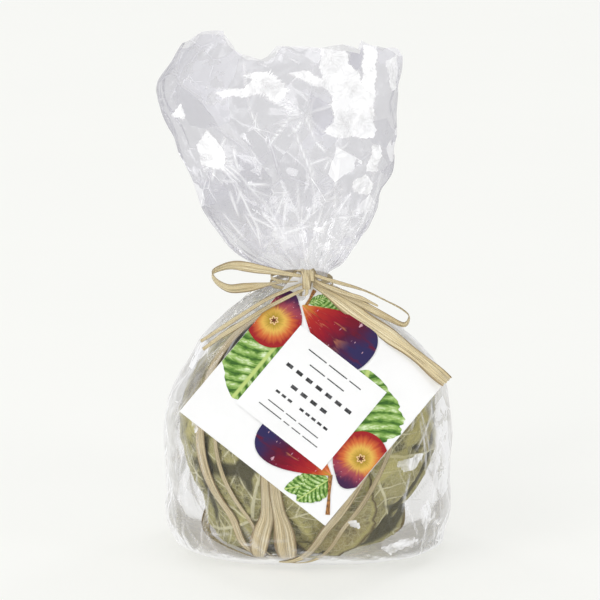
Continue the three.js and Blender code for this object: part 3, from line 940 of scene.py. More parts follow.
# ------------------------------------------------------------------ the bow
# Each strand's route on the tag's frame, its width at the start, middle and end, and the way
# its width runs at those places.
BOW = {
    "bow_loop_left": (
        [
            (-2.6, 35.6, 4.6), (-3.3, 35.6, 4.8), (-8, 36.2, 5.6), (-15.7, 37.4, 6.2),
            (-24.3, 38.7, 6.2), (-29, 38, 5.6), (-31.7, 36.5, 4.8), (-30.5, 33.9, 3.8),
            (-26.4, 31.8, 3), (-21.3, 32.1, 2.8), (-17, 32.7, 2.8), (-11.3, 33.5, 3),
            (-3.7, 34.2, 3),
        ],
        (1.0, 2.7, 1.0),
        [(0, 0.8, 0.5), (0, 0.3, 1), (0, 0.8, -0.5)],
    ),
    "bow_loop_right_outer": (
        [
            (1.2, 35.9, 5), (8.7, 33.2, 6), (18.3, 30, 6.6), (26.7, 25.9, 6.4), (31, 23.6, 5.8),
            (33, 21.4, 5.2), (31.3, 18.9, 4.6), (26.3, 21.3, 3.8), (18.3, 25.8, 3.2),
            (12.3, 28.9, 2.8), (7, 31.6, 2.8), (1.4, 33.5, 2.8),
        ],
        (0.9, 2.2, 0.9),
        [(0, 0.7, 0.7), (0, 0.2, 1), (0, 0.7, -0.7)],
    ),
    "bow_loop_right_inner": (
        [(1.2, 34.6, 4.4), (5, 32.5, 4.5), (12.3, 29.5, 4.7), (17.7, 27.6, 4.9), (22.7, 25.2, 4.9)],
        (0.8, 1.4, 0.7),
        [(0, 1, 0.2), (0, 1, 0.2), (0, 1, 0.2)],
    ),
    "bow_tail_right": (
        [
            (1.4, 33.2, 1.8), (8.7, 29, 1.5), (17.3, 22.6, 1.5), (26.7, 15.8, 1.5), (37, 7.6, 1.8),
            (45.4, 0, 2.4),
        ],
        (1.2, 4.4, 4.7),
        [(0.5, 0.8, 0), (0.6, 0.8, 0), (0.6, 0.7, 0.1)],
    ),
    "bow_tail_left_upper": (
        [
            (-2.4, 33.6, 1.9), (-6.3, 31.9, 1.8), (-13.7, 28.4, 2), (-21.3, 23.6, 2),
            (-29, 18.4, 2), (-35.7, 13.9, 2),
        ],
        (0.8, 1.4, 1.1),
        [(-0.5, 0.8, 0), (-0.5, 0.8, 0), (-0.5, 0.8, 0)],
    ),
    "bow_tail_left_lower": (
        [
            (-2, 31.6, 1.6), (-6.3, 29.6, 1.4), (-13.7, 25.6, 1.4), (-21.3, 20.8, 1.4),
            (-29, 15.9, 1.4), (-35, 11.3, 1.4),
        ],
        (0.8, 1.6, 1.2),
        [(-0.5, 0.8, 0), (-0.5, 0.8, 0), (-0.5, 0.8, 0)],
    ),
    "tie_strand_left": (
        [
            (-6.4, 35.6, -6), (-5.6, 37.6, -4), (-4.2, 38.8, -0.8), (-2.4, 38.2, 2.2),
            (-1.4, 36.6, 3),
        ],
        (1.8, 1.8, 1.4),
        [(1, 0, 0), (1, 0, 0), (1, 0, 0)],
    ),
    "tie_strand_right": (
        [(1.8, 35.6, -6), (1.6, 37.8, -4), (1, 38.9, -0.8), (0.3, 38.3, 2.2), (-0.2, 36.6, 3)],
        (1.8, 1.8, 1.4),
        [(1, 0, 0), (1, 0, 0), (1, 0, 0)],
    ),
}
KNOT_MIDDLE = np.array([-0.7, 34.5, 3.6])
# What each long free strand ends in.
FREE_ENDS = {
    "bow_loop_left": "object",
    "bow_loop_right_outer": "object",
    "bow_tail_right": "bare",
    "bow_tail_left_upper": "bare",
    "bow_tail_left_lower": "bare",
}


def ribbon_route(route, widths, ways, count):
    """Even points along a bow strand, with its half widths and width directions."""
    path = catmull(on_tag(route), count)
    t = np.linspace(0, 1, count)
    half = along([(0, widths[0]), (0.2, widths[1]), (0.75, widths[1]), (1, widths[2])], t) / 2
    ways = unit(np.array(ways, float) @ TAG_AXES)
    broad = np.stack([np.interp(t, [0, 0.5, 1], ways[:, i]) for i in range(3)], 1)
    tangent = unit(np.gradient(path, axis=0))
    broad = unit(broad - (broad * tangent).sum(1, keepdims=True) * tangent)
    twist = (0.42 * np.sin(5 * t + len(route)) + 0.2 * np.sin(13 * t + 2 * widths[1]))[:, None]
    broad = broad * np.cos(twist) + np.cross(tangent, broad) * np.sin(twist)
    return path, half * (1 + 0.09 * np.sin(17 * t + widths[1])), broad


class FIGBALL_OT_bow(bpy.types.Operator):
    """Tie the raffia bow, with its knot, loops, tails and the string through the tag"""

    bl_idname = "figball.bow"
    bl_label = "Raffia bow"

    def execute(self, context):
        settings = context.scene.figball.raffia
        kit = raffia_kit(settings)
        for seed, (name, (route, widths, ways)) in enumerate(BOW.items()):
            path, half, broad = ribbon_route(route, widths, ways, STRAND_POINTS)
            piece = make_ribbon(name + "_raffia", path, half, broad, kit, 20 + seed)
            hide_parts(name)
            if name in FREE_ENDS:
                (path[0] * MM).tolist()
                (path * MM).tolist()
        self.tie_knot(kit)
        self.tie_neck(kit)
        self.thread_tag(kit)
        return {"FINISHED"}

    def tie_knot(self, kit):
        """Two wraps of a ribbon round the strands that meet in the knot."""
        angle = np.linspace(0, 4.6 * math.pi, 170)
        drift = np.linspace(-0.8, 0.9, len(angle))
        route = np.stack(
            [
                drift * 1.3 + 0.4 * np.sin(angle * 0.5),
                3.3 * np.cos(angle) * (1 - 0.08 * np.abs(drift)),
                2.2 * np.sin(angle),
            ],
            1,
        )
        path = on_tag(route + KNOT_MIDDLE)
        half = 1.15 + 0.12 * np.sin(3 * angle)
        piece = make_ribbon("bow_knot_raffia", path, half, TAG_AXES[0], kit, 40)
        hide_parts("bow_knot")

    def tie_neck(self, kit):
        """Turns of thin raffia round the neck of the bag."""
        angle = np.linspace(0, 4.4 * math.pi, 260)
        share = np.linspace(0, 1, len(angle))
        lift = 0.6 + 0.45 * share
        rise = -1.3 + 1.2 * np.sin(angle * 0.37 + 0.4)
        x = (NECK_HALF_WIDTH + lift) * np.cos(angle)
        y = (NECK_HALF_DEPTH + lift) * np.sin(angle)
        path = NECK_MIDDLE + np.stack([x, y, rise], 1)
        piece = make_ribbon("neck_tie_raffia", path, 0.6, (0, 0, 1), kit, 41)
        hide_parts("neck_tie")

    def thread_tag(self, kit):
        """The string from under the knot through the tag's hole and up behind the card."""
        reach = TAG_SIDE / math.sqrt(2) - TAG_HOLE_INSET
        up = np.array([-math.sin(TAG_TURN), math.cos(TAG_TURN)])
        hole = np.array([*(TAG_MIDDLE + reach * up), 0])
        steps = [
            (2.3, 1.2, 3.6), (2.1, -0.5, 3.4), (1, -0.8, 2.6), (0, 0, 0.4), (0.2, 0.8, -1.6),
            (0.6, 4, -2.6), (1.2, 7, -4),
        ]
        path = catmull(on_tag(hole + np.array(steps)), 90)
        piece = make_ribbon("tag_string_raffia", path, 0.5, TAG_AXES[0], kit, 42)
        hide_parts("tag_string")


# ------------------------------------------------------------------ the film bag
# Where the film's left and right edges, front and back lie at each height.
LEFT_EDGE = [
    (0, -33), (3, -41), (9, -46), (22, -47), (37, -47.8), (50, -46.6), (60, -42), (68, -37.5),
    (77, -31), (85, -22.5), (90, -15.5), (93, -12), (98, -12), (101, -19), (105, -25),
    (110, -29.3), (119, -34.8), (126, -37), (133, -39.9), (142, -44), (155, -50.2), (160, -50.2),
    (167, -45.5), (171, -43), (176, -39.5),
]
RIGHT_EDGE = [
    (0, 33), (3, 42), (9, 45.4), (23, 46.2), (37, 47), (47, 46.4), (57, 44.2), (68, 36.8),
    (77, 28.2), (85, 17), (90, 10), (93, 7), (98, 7), (101, 11), (105, 14), (110, 17.5),
    (118, 21.3), (125, 23), (129, 25.8), (139, 26.8), (152, 28.3), (163, 30), (170, 30.7),
    (176, 30),
]
FRONT_DEPTH = [
    (0, 23), (4, 31.4), (9, 36.8), (15, 40), (23, 43), (33, 45.9), (43.5, 46.9), (54, 45.6),
    (64, 41.4), (72, 35.4), (79, 27.4), (85, 19), (90, 10), (93, 7), (98, 7), (103, 8.4),
    (117, 9), (141, 10.4), (157, 11.4), (178, 12.4),
]
BACK_DEPTH = [
    (0, 27), (4, 33), (9, 37), (15, 40.4), (23, 43.8), (33, 46), (43.5, 47), (54, 46), (64, 42.6),
    (72, 38), (79, 33), (85, 25.5), (90, 12), (93, 7), (98, 7), (103, 8.6), (117, 10), (141, 12),
    (157, 13), (178, 14),
]
# Where the bag's middle lies front to back, and how square its outline is, at each height.
MIDDLE_Y = [(0, 0), (60, 0), (92.5, -8), (98.5, -8), (125, -5), (178, -4)]
SQUARENESS = [(0, 3.2), (9, 2.7), (25, 2.2), (55, 2.05), (88, 2), (106, 2), (135, 2.5), (178, 2.8)]
# Height of the mouth's cut edge from left to right, the same way for both walls.
MOUTH_EDGE = [
    (-52, 166), (-43, 171), (-39.7, 174.4), (-28, 175), (-26, 172.6), (-22, 168.8), (-17.7, 166.4),
    (-11.4, 165.4), (-10, 167), (-9.2, 170.7), (2.3, 170.2), (6.7, 169.8), (12.4, 168.6),
    (13, 171.8), (17.8, 171.2), (22.2, 170), (29.3, 168.3), (32, 166),
]


def facets(u, height, around, tall, rng):
    """Flat triangles with sharp creases between random heights, closed round the bag."""
    turn = 2 * math.pi
    x = u * around
    y = height / tall
    x = x + 0.28 * np.sin(turn * (u * 3 + 0.13 * y)) + 0.18 * np.sin(turn * (u * 7 + 0.31 * y))
    y = y + 0.3 * np.sin(turn * (u * 2 + 0.4)) + 0.22 * np.sin(turn * (u * 5 + 0.09 * y))
    rows = int(np.ceil(y.max())) + 4
    low = int(np.floor(y.min())) - 1
    table = rng.uniform(-1, 1, (rows - low + 2, around))
    flips = rng.integers(0, 2, (rows - low + 2, around))
    i, j = np.floor(x).astype(int), np.floor(y).astype(int)
    fx, fy = x - i, y - j
    i0, i1, j0 = i % around, (i + 1) % around, j - low
    a, b = table[j0, i0], table[j0, i1]
    c, d = table[j0 + 1, i0], table[j0 + 1, i1]
    below = a + (b - a) * fx + (c - a) * fy
    above = d + (c - d) * (1 - fx) + (b - d) * (1 - fy)
    right = a + (b - a) * fx + (d - b) * fy
    left = a + (d - c) * fx + (c - a) * fy
    falling = np.where(fx + fy < 1, below, above)
    return np.where(flips[j0, i0] == 1, np.where(fx > fy, right, left), falling)


def sharp_wave(value):
    """A wave of straight slopes and sharp turns, between -1 and 1."""
    return 2 / math.pi * np.arcsin(0.985 * np.sin(value))


# Painted highlights, and painted shade below 0, laid on the front wall: strength, then (x, height)
# corners.
PAINTED_SHEENS = (
    (0.85, [(4, 175.9), (11.7, 174.5), (13.3, 169.3), (16.3, 166.2), (22, 146.6), (20.7, 144.1),
            (7, 145.2), (4.7, 146.6), (8, 150), (7.7, 158.3), (4.7, 163.1), (3.7, 170.3)]),
    (0.9, [(18, 178), (22, 177.6), (20.8, 146.6), (18, 147.6), (17.7, 164.5)]),
    (-0.6, [(13.3, 178), (17.7, 178), (17.2, 166.9), (13.3, 169.1)]),
    (-0.45, [(9.9, 165.5), (16.2, 164.5), (17.3, 157.2), (11.7, 160.8)]),
    (0.8, [(25.3, 170.3), (30, 171), (28.3, 160.3), (26.7, 159.7), (26, 165.5)]),
    (0.75, [(-31, 160.2), (-21.8, 161.4), (-18.3, 164.5), (-21.8, 166.2), (-13.8, 167.4),
            (-6.8, 161.4), (-10.3, 156.6), (-15, 160.2), (-20.7, 158.9), (-28.8, 158.3)]),
    (0.6, [(-6.8, 167.4), (0, 167.9), (4.7, 164.5), (7, 162.1), (1.2, 163.2), (-3.3, 165)]),
    (0.7, [(-45.8, 151.4), (-42, 155.5), (-41, 150)]),
    (0.7, [(-36.8, 141.7), (-34, 146.6), (-28.2, 141), (-27.7, 133.4), (-35.7, 134.5)]),
    (0.85, [(14.5, 129.7), (18.5, 131.5), (21.3, 127.4), (19.7, 124.5), (15, 125.5)]),
    (0.7, [(20.8, 141.7), (23.2, 141), (22, 132), (19, 132.7)]),
    (0.7, [(1.2, 114.2), (5.8, 113.6), (4.7, 111.8)]),
    (-0.4, [(0, 160.8), (8.2, 154.8), (7, 146.6), (3.5, 145.3), (0.7, 151.2)]),
    (0.9, [(28.4, 38.6), (34.6, 40.4), (37, 39.6), (35.2, 36.2), (31.4, 35.8)]),
    (0.85, [(12.6, 19.8), (15, 20.4), (17.4, 17.8), (13.8, 18.2)]),
    (0.7, [(-38.4, 50.6), (-37, 51.4), (-36.6, 48.6), (-37.8, 47.4)]),
    (0.6, [(24, 9.6), (33, 12.6), (36, 10.6), (27, 6.4)]),
    (0.5, [(36, 20.5), (39.5, 23), (40.5, 15.5), (38, 13)]),
)


def inside(x, z, corners, soft):
    """How far points lie inside an outline, from 0 to 1 across a soft edge."""
    corners = np.array(corners, float)
    odd = np.zeros(x.shape, bool)
    gap = np.full(x.shape, 1e9)
    for (ax, az), (bx, bz) in zip(corners, np.roll(corners, -1, axis=0)):
        rise = np.where(bz == az, 1e-9, bz - az)
        odd ^= ((az > z) != (bz > z)) & (x < ax + (z - az) * (bx - ax) / rise)
        gap = np.minimum(gap, from_run(x, z, (ax, az), (bx, bz))[1])
    return soft_step(np.where(odd, gap, -gap), -soft, soft)


# The film's points round it and up it.
FILM_GRID = (396, 250)
# In millimetres: the height where a column's place along the mouth is read, the radius that
# turns an angle round the bag into a length, and a crease's half width.
MOUTH = 168.0
BAG_RADIUS = 47
CREASE_WIDTH = 0.4
# Below this height the film lies on the ball.
BALL_TOP = 88
# What the flare's creases run towards: x and height.
NECK_AIM = (-2.5, 92)
# Where sharp creases run together on the flare: (x, height, how many, longest).
CREASE_HUBS = (
    (-1.5, 153, 11, 13), (7, 138, 7, 9), (-22, 129, 6, 10), (9, 117, 9, 13), (-9, 112, 7, 14),
    (-31, 136, 5, 8), (2, 123, 6, 10), (12, 107, 6, 10), (-16, 119, 6, 12),
)


def crease_runs(hubs, loose, aim, rng):
    """Straight creases as (start, end, strength): stars at the hubs, and loose runs. aim holds
    the loose ones' range of x, their range of height, and the x and height they run towards."""
    runs = []
    for x, z, count, longest in hubs:
        for _ in range(count):
            way, start = rng.uniform(0, 2 * math.pi), rng.uniform(0, 2.5)
            end = start + longest * rng.uniform(0.25, 1)
            c, s = math.cos(way), math.sin(way)
            near, far = (x + start * c, z + start * s), (x + end * c, z + end * s)
            runs.append((near, far, rng.uniform(0.35, 1)))
    for _ in range(loose):
        x, z = rng.uniform(*aim[0]), rng.uniform(*aim[1])
        way = math.atan2(z - aim[3], x - aim[2]) + rng.normal(0, 0.45)
        reach = rng.uniform(2.5, 11)
        c, s = reach * math.cos(way), reach * math.sin(way)
        runs.append(((x - c, z - s), (x + c, z + s), rng.uniform(0.2, 0.9)))
    return runs


def crease_field(x, z, runs):
    """How strongly each point lies on a crease, from 0 to 1."""
    field = np.zeros(x.shape)
    for start, end, strength in runs:
        t, gap = from_run(x, z, start, end)
        fade = 1 - 0.7 * np.abs(2 * t - 1) ** 3
        field = np.maximum(field, strength * np.exp(-((gap / CREASE_WIDTH) ** 2)) * fade)
    return field


def painted_sheen_of(x, z):
    """Painted highlight (above 0) and painted shade (below 0) over the front wall."""
    total = np.zeros(x.shape)
    ragged_x = x + 0.35 * sharp_wave(z * 0.9) + 0.15 * np.sin(z * 3.7 + x)
    ragged_z = z + 0.35 * sharp_wave(x * 0.8) + 0.15 * np.sin(x * 3.1 + z)
    for strength, corners in PAINTED_SHEENS:
        total = total + strength * inside(ragged_x, ragged_z, corners, 0.3)
    return np.clip(total, -1, 1)


def film_material(settings):
    net = Finish("clear film")
    place = net.place()
    crease = net.attribute("crease")
    loose = net.attribute("loose")
    sheen = net.attribute("sheen")
    drift = net.node("ShaderNodeTexNoise", {}, {"Vector": place, "Scale": 34.0}, output="Color")
    wobble = net.vector("MULTIPLY_ADD", drift, (0.003, 0.003, 0.003), place)

    def cell(scale, shift):
        """A cell pattern: how far its edges are, its tilt, and a chance number for each cell."""
        at = net.vector("ADD", wobble, (shift, 0, shift))
        cells = net.node("ShaderNodeTexVoronoi", {}, {"Vector": at, "Scale": scale}).socket.node
        colour = Wire(net, cells.outputs["Color"])
        tilt = net.vector("SUBTRACT", colour, (0.5, 0.5, 0.5))
        offset = net.vector("SUBTRACT", at, Wire(net, cells.outputs["Position"]))
        slope = net.vector("DOT_PRODUCT", offset, tilt, output="Value")
        return net.cells(at, scale), slope, net.split(colour)[0]

    edge_1, slope_1, chance_1 = cell(40.0, 0.0)
    edge_2, slope_2, chance_2 = cell(105.0, 0.31)
    streaky = net.noise(place, 170, 3, 0.6, 0.5)
    # Painted glints: thin white streaks along cell edges and scattered white cells stand in for
    # light caught by the creased film.
    wear_and_glint_noise = net.noise(place, 55, 3)
    painted_glint_lines = (1 - edge_2.smooth(0.006, 0.024)) * wear_and_glint_noise.smooth(0.56, 0.62) * 0.6
    painted_glint_lines = painted_glint_lines.most((1 - edge_1.smooth(0.003, 0.009)) * wear_and_glint_noise.smooth(0.5, 0.56) * 0.6)
    chips = net.attribute("chips")
    painted_glint_patches = (chance_1.smooth(0.9, 0.903) * streaky.smooth(0.44, 0.46) * chips).most(
        chance_2.smooth(0.955, 0.958) * streaky.smooth(0.4, 0.42)
    )
    slant = net.node("ShaderNodeLayerWeight", {}, {"Blend": 0.5}, output="Facing")
    # Painted highlight: white that grows towards grazing angles on the body.
    milk = net.attribute("milk") * (streaky + 0.5) * slant.smooth(0.38, 0.92)
    # All this white is painted highlight: glint streaks and spots, a faint even white on loose
    # film, the grazing highlight, the laid-on highlights and a white line along each crease.
    white = (painted_glint_lines * 0.8 + painted_glint_patches * 0.6 + 0.02) * loose + milk
    crisp_painted_sheen = sheen.smooth(0.2, 0.32) * (0.5 + (streaky - 0.45) * 2.6).least(0.92).most(0.15)
    white = (white + crisp_painted_sheen + crease * 0.75).least(0.92)
    # Painted shade: darker areas laid on the front wall, random darker facets on loose film, and a
    # darker tone over the flare and neck.
    painted_shade = (0 - sheen) * 0.55 + (1 - chance_1.smooth(0.2, 0.203)) * loose * 0.14
    painted_shade = (painted_shade + net.attribute("smoke")).most(0.0)
    normal = net.bump(slope_1 * 0.55 + slope_2 * 0.3, 1.0, 0.9)
    facing = net.node("ShaderNodeLayerWeight", {}, {"Blend": 0.12}, output="Fresnel")
    clear = net.node("ShaderNodeBsdfTransparent", {}, {"Color": (*settings.tint, 1)})
    gloss = net.principled(
        Base_Color=(0.97, 0.97, 0.98, 1),
        Metallic=0.85,
        Roughness=0.05 + streaky * 0.06,
        Normal=normal,
    )
    # A white surface with a faint glow, though it is no lamp, that carries the painted highlights.
    painted_white_glow = net.principled(
        Base_Color=(0.9, 0.9, 0.915, 1),
        Roughness=0.35,
        Emission_Color=(0.95, 0.95, 1.0, 1),
        Emission_Strength=0.08,
    )
    # A dark violet surface that carries the painted shade.
    shade = net.principled(Base_Color=(0.42, 0.41, 0.49, 1), Roughness=0.3, Normal=normal)
    share = (0.022 + loose * 0.06 + facing * 0.55).least(1.0)
    film = net.node("ShaderNodeMixShader", {}, {0: share, 1: clear, 2: gloss})
    film = net.node("ShaderNodeMixShader", {}, {0: painted_shade, 1: film, 2: shade})
    return net.done(net.node("ShaderNodeMixShader", {}, {0: white, 1: film, 2: painted_white_glow}))


class FIGBALL_OT_film(bpy.types.Operator):
    """Draw the clear film bag, with its pleats, facets, creases and cut mouth"""

    bl_idname = "figball.film"
    bl_label = "Film bag"

    def execute(self, context):
        settings = context.scene.figball.film
        rng = np.random.default_rng(settings.seed)
        columns, rows = FILM_GRID
        u = np.linspace(0, 1, columns, endpoint=False)[None, :]
        v = np.interp(np.linspace(0, 1, rows), [0, 0.4, 1], [0, 0.54, 1])[:, None]
        angle = 2 * math.pi * u
        c, s = np.cos(angle), np.sin(angle)
        # The mouth's own height at each column, found from where that column ends.
        top_x = along(LEFT_EDGE, MOUTH) * (1 - c) / 2 + along(RIGHT_EDGE, MOUTH) * (1 + c) / 2
        top = np.interp(top_x, *np.array(MOUTH_EDGE).T)
        # The front wall stands a little higher than the back one.
        front_lift = 0.4 + 2.4 * (1 - s) + 0.5 * np.sin(7 * angle)
        top = top + front_lift - np.where(s > 0.1, 1.2 * np.sin(5 * angle + 0.5) ** 2, 0)
        z = v * top
        left, right = along(LEFT_EDGE, z), along(RIGHT_EDGE, z)
        half, middle = (right - left) / 2, (right + left) / 2
        bend = 2 / along(SQUARENESS, z)
        depth = np.where(s < 0, along(FRONT_DEPTH, z), along(BACK_DEPTH, z))
        x = middle + np.sign(c) * np.abs(c) ** bend * half
        y = along(MIDDLE_Y, z) + np.sign(s) * np.abs(s) ** bend * depth
        points = np.stack([x, y, z], -1)
        away = unit(np.cross(np.gradient(points, axis=1), np.gradient(points, axis=0)))

        # How much each point belongs to the flare, to the body and its sides, to the neck, and
        # to the calm lobe at the flare's top left.
        flare = soft_step(z, 104, 128)
        body = 1 - soft_step(z, 66, 92)
        beside = np.abs(c) ** 2 + 0 * z
        neck = soft_step(z, 70, 92) * (1 - soft_step(z, 100, 140))
        lobe = soft_step(z, 146, 154) * (1 - soft_step(x, -22, -12)) * (s < 0.3)

        facet, crease_depth = settings.facet / MM, settings.crease / MM
        around = u + 0 * z
        big = facets(around, z, int(260 / facet), facet * 1.25, rng)
        mid = facets(around + 0.37, z, 34, 8.5, rng)
        small = facets(around + 0.11, z, 78, 3.8, rng)
        warp = 0.9 * np.sin(z / 9 + 5 * np.sin(angle)) + 0.6 * np.sin(z / 4.3 + 3 * angle)
        pleats = sharp_wave(19 * angle + warp) + 0.6 * sharp_wave(31 * angle - 1.3 * warp + 1)
        slack = 0.5 * body * beside
        push = (
            big * crease_depth * (0.18 + 0.82 * flare + slack) * (1 - 0.5 * lobe)
            + mid * crease_depth * 0.34 * (0.35 + 0.65 * flare + slack) * (1 - 0.8 * lobe)
            + small * 0.17 * (1 - 0.8 * lobe)
            + pleats * 0.62 * neck
        )
        crease = self.creases(x, z, s, BAG_RADIUS * (angle + 0 * z), body, settings.seed + 1)
        push = push + crease * 0.25
        # Where it lies on the ball the film is only ever pushed outwards.
        push = np.where(z < BALL_TOP, 0.25 + np.abs(push) * 0.8, push)
        hold = 1 - 0.9 * np.exp(-(((z - NECK_MIDDLE[2]) / 3.4) ** 2))
        base = soft_step(z, 0.5, 5)
        points = points + away * (push * hold * base)[..., None]
        points[..., 2] = np.maximum(points[..., 2], 0.02)
        flat = points.reshape(-1, 3)
        # The base closes on a point through one ring of half the size.
        ring = flat[:columns] * [0.5, 0.5, 1]
        ring[:, 2] = 0.03
        flat = np.vstack([[[0, 2, 0.04]], ring, flat])
        fan = [[0, 1 + (i + 1) % columns, 1 + i] for i in range(columns)]
        quads = [[a + 1, d + 1, c + 1, b + 1] for a, b, c, d in grid_faces(rows + 1, columns, True)]
        film = new_piece("film_bag_film", flat, fan + quads, film_material(settings))
        for key, values in self.finish_values(x, z, s, flare, body, beside, neck, lobe).items():
            set_values(film, key, np.concatenate([np.zeros(columns + 1), values.ravel()]))
        set_values(film, "crease", np.concatenate([np.zeros(columns + 1), crease.ravel()]))
        rework(film, bmesh.ops.recalc_face_normals)
        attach(film, "root")
        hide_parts("film_bag")
        return {"FINISHED"}

    def creases(self, x, z, s, arc, body, seed):
        """Sharp straight creases over the flare's two walls, the body's sides and low down."""
        rng = np.random.default_rng(seed)
        front = crease_runs(CREASE_HUBS, 34, ((-28, 22), (102, 136), *NECK_AIM), rng)
        front += crease_runs((), 7, ((-30, 24), (136, 168), *NECK_AIM), rng)
        back = crease_runs(CREASE_HUBS[2::2], 22, ((-30, 22), (102, 140), *NECK_AIM), rng)
        reach = BAG_RADIUS * 0.85
        sides = crease_runs((), 60, ((-reach, reach), (6, 84), 0, 400), rng)
        span = (BAG_RADIUS * 3.3, BAG_RADIUS * 6.1)
        lower = crease_runs((), 34, (span, (3, 15), 220, 7), rng)
        crease = np.where(s < 0, crease_field(x, z, front), crease_field(x, z, back))
        crease = crease * soft_step(z, 98, 106)
        for turn in (0, math.pi, 2 * math.pi):
            crease = np.maximum(crease, crease_field(arc - BAG_RADIUS * turn, z, sides) * body)
        return np.maximum(crease, crease_field(arc, z, lower) * 0.8)

    def finish_values(self, x, z, s, flare, body, beside, neck, lobe):
        """What the film's material reads at each point."""
        slack = 0.7 * body * soft_step(beside, 0.62, 0.93)
        loose = np.clip(flare + slack + 0.3 * (1 - soft_step(z, 5, 14)), 0, 1)
        rear = np.where(s > 0, 0.6 - 0.3 * body, 0)
        above = np.where(z > 90, soft_step(z, 100, 112), 1)
        return {
            "loose": np.maximum(loose, rear + neck * 0.5) * (1 - 0.75 * lobe),
            # Painted highlights and shade laid on the front wall.
            "sheen": np.where(s < 0, painted_sheen_of(x, z), 0) * above,
            # Painted highlight at grazing angles over the body, stronger near the base where it
            # lifts the floor's shadow seen through the film.
            "milk": body * (0.66 + 0.4 * (1 - soft_step(z, 3, 13))),
            # Painted glints: where the white cell spots may show.
            "chips": np.where(s > 0, 1 - 0.85 * body, 1 - soft_step(z, 100, 110)),
            # Painted shade: a darker tone over the flare and neck.
            "smoke": 0.01 + 0.2 * flare + 0.1 * neck,
        }


# ------------------------------------------------------------------ the tag
CARD_ALONG = np.array([math.cos(TAG_TURN - math.pi / 4), math.sin(TAG_TURN - math.pi / 4)])
CARD_UP = np.array([-CARD_ALONG[1], CARD_ALONG[0]])
# In millimetres: the first print's lift off the card, each next one's, and the bare edge.
INK_LIFT = 0.02
INK_STEP = 0.03
BARE_EDGE = 0.12
# A square's corners, anticlockwise.
SQUARE = ((-1, -1), (1, -1), (1, 1), (-1, 1))


def card_material(settings):
    net = Finish("white card")
    place = net.place()
    fibre = net.noise(place, 1500, 4, 0.6)
    cloud = net.noise(place, 60, 3)
    white = Vector(settings.card)
    colour = net.mix(tuple(white * 0.965), tuple(white), cloud.smooth(0.3, 0.65))
    return net.done(
        net.principled(
            Base_Color=colour, Roughness=0.5 + fibre * 0.15, Normal=net.bump(fibre, 0.25, 0.0001)
        )
    )


def ink_finish(net, colour):
    return net.done(net.principled(Base_Color=colour, Roughness=0.6, Specular_IOR_Level=0.25))


def eye_fig_ink():
    """A ripe fig seen from its eye: gold round the eye, red at the rim, purple to the stem."""
    net = Finish("printed fig, eye end")
    u, v, _ = net.split(net.uv())
    reach = (u * u + v * v) ** 0.5
    turn = net.node("ShaderNodeMath", {"operation": "ARCTAN2"}, {0: v, 1: u})
    streak = net.noise(net.join(turn * 5, reach * 1.2, 0), 1.6, 3)
    speck = net.noise(net.join(u, v, 0), 9, 2)
    colour = net.ramp(
        reach + (streak - 0.5) * 0.35,
        [(0.0, (0.2, 0.12, 0.01)), (0.18, (0.42, 0.27, 0.03)), (0.4, (0.72, 0.45, 0.09)),
         (0.64, (0.6, 0.13, 0.035)), (0.88, (0.33, 0.012, 0.015))],
    )
    top = v * 0.8 + u * 0.35 + (streak - 0.5) * 0.5
    colour = net.over(
        colour,
        ((0.3, 0.05, 0.09), top.smooth(0.25, 0.6) * 0.85),
        ((0.05, 0.012, 0.06), top.smooth(0.58, 0.95)),
        ((0.85, 0.6, 0.6), speck.smooth(0.66, 0.72) * top.smooth(0.1, 0.7) * 0.7),
    )
    spikes = reach + (turn * 6).sine() * 0.03
    colour = net.mix((0.12, 0.02, 0.01), colour, spikes.smooth(0.06, 0.09))
    halo = abs(spikes - 0.12).smooth(0.01, 0.04)
    return ink_finish(net, net.mix((0.8, 0.55, 0.3), colour, halo))


def long_fig_ink():
    """A ripe fig from the side: gold ribs at the stem, crimson, then purple and blue bloom."""
    net = Finish("printed fig, side")
    u, v, _ = net.split(net.uv())
    fan = v / (u * 0.8 + 0.12)
    streak = net.noise(net.join(u * 1.4, fan * 3.2, 0), 1.5, 3, 0.6)
    speck = net.noise(net.join(u * 2, v, 2), 11, 2)
    place = u + (streak - 0.5) * 0.6 - v * 0.12 + 0.04
    colour = net.ramp(
        place,
        [(0.0, (0.5, 0.34, 0.05)), (0.12, (0.6, 0.17, 0.03)), (0.22, (0.42, 0.02, 0.015)),
         (0.44, (0.27, 0.002, 0.016)), (0.66, (0.085, 0.003, 0.028)), (0.9, (0.025, 0.018, 0.09))],
    )
    colour = net.over(
        colour,
        ((0.78, 0.3, 0.12), streak.smooth(0.56, 0.66) * (1 - u.smooth(0.35, 0.75)) * 0.8),
        ((0.14, 0.002, 0.015), (1 - streak.smooth(0.34, 0.46)) * 0.8),
        ((0.75, 0.45, 0.55), speck.smooth(0.67, 0.73) * 0.8),
    )
    return ink_finish(net, colour)


def leaf_ink():
    """A green leaf with a pale midrib, dark slanting ribs and puffed cells between them."""
    net = Finish("printed leaf")
    u, v, _ = net.split(net.uv())
    side = abs(v)
    tone = net.noise(net.join(u, v, 0), 5, 4, 0.6)
    slant = u - side * 0.75 + side * side * 0.8 + (tone - 0.5) * 0.07
    ribs = abs((slant * 25).sine())
    puff = net.cells(net.join(slant * 2.4, v * 0.8, 0), 11)
    shine = puff.smooth(0.0, 0.3) * 0.2 + ribs * 0.52 + (tone - 0.5) * 1.5
    colour = net.ramp(
        shine,
        [(0.06, (0.035, 0.11, 0.015)), (0.32, (0.12, 0.26, 0.04)), (0.58, (0.33, 0.5, 0.14)),
         (0.92, (0.78, 0.87, 0.62))],
    )
    colour = net.mix((0.05, 0.14, 0.02), colour, ribs.smooth(0.03, 0.2) * 0.7 + 0.3)
    return ink_finish(net, net.mix((0.5, 0.62, 0.2), colour, side.smooth(0.01, 0.03)))


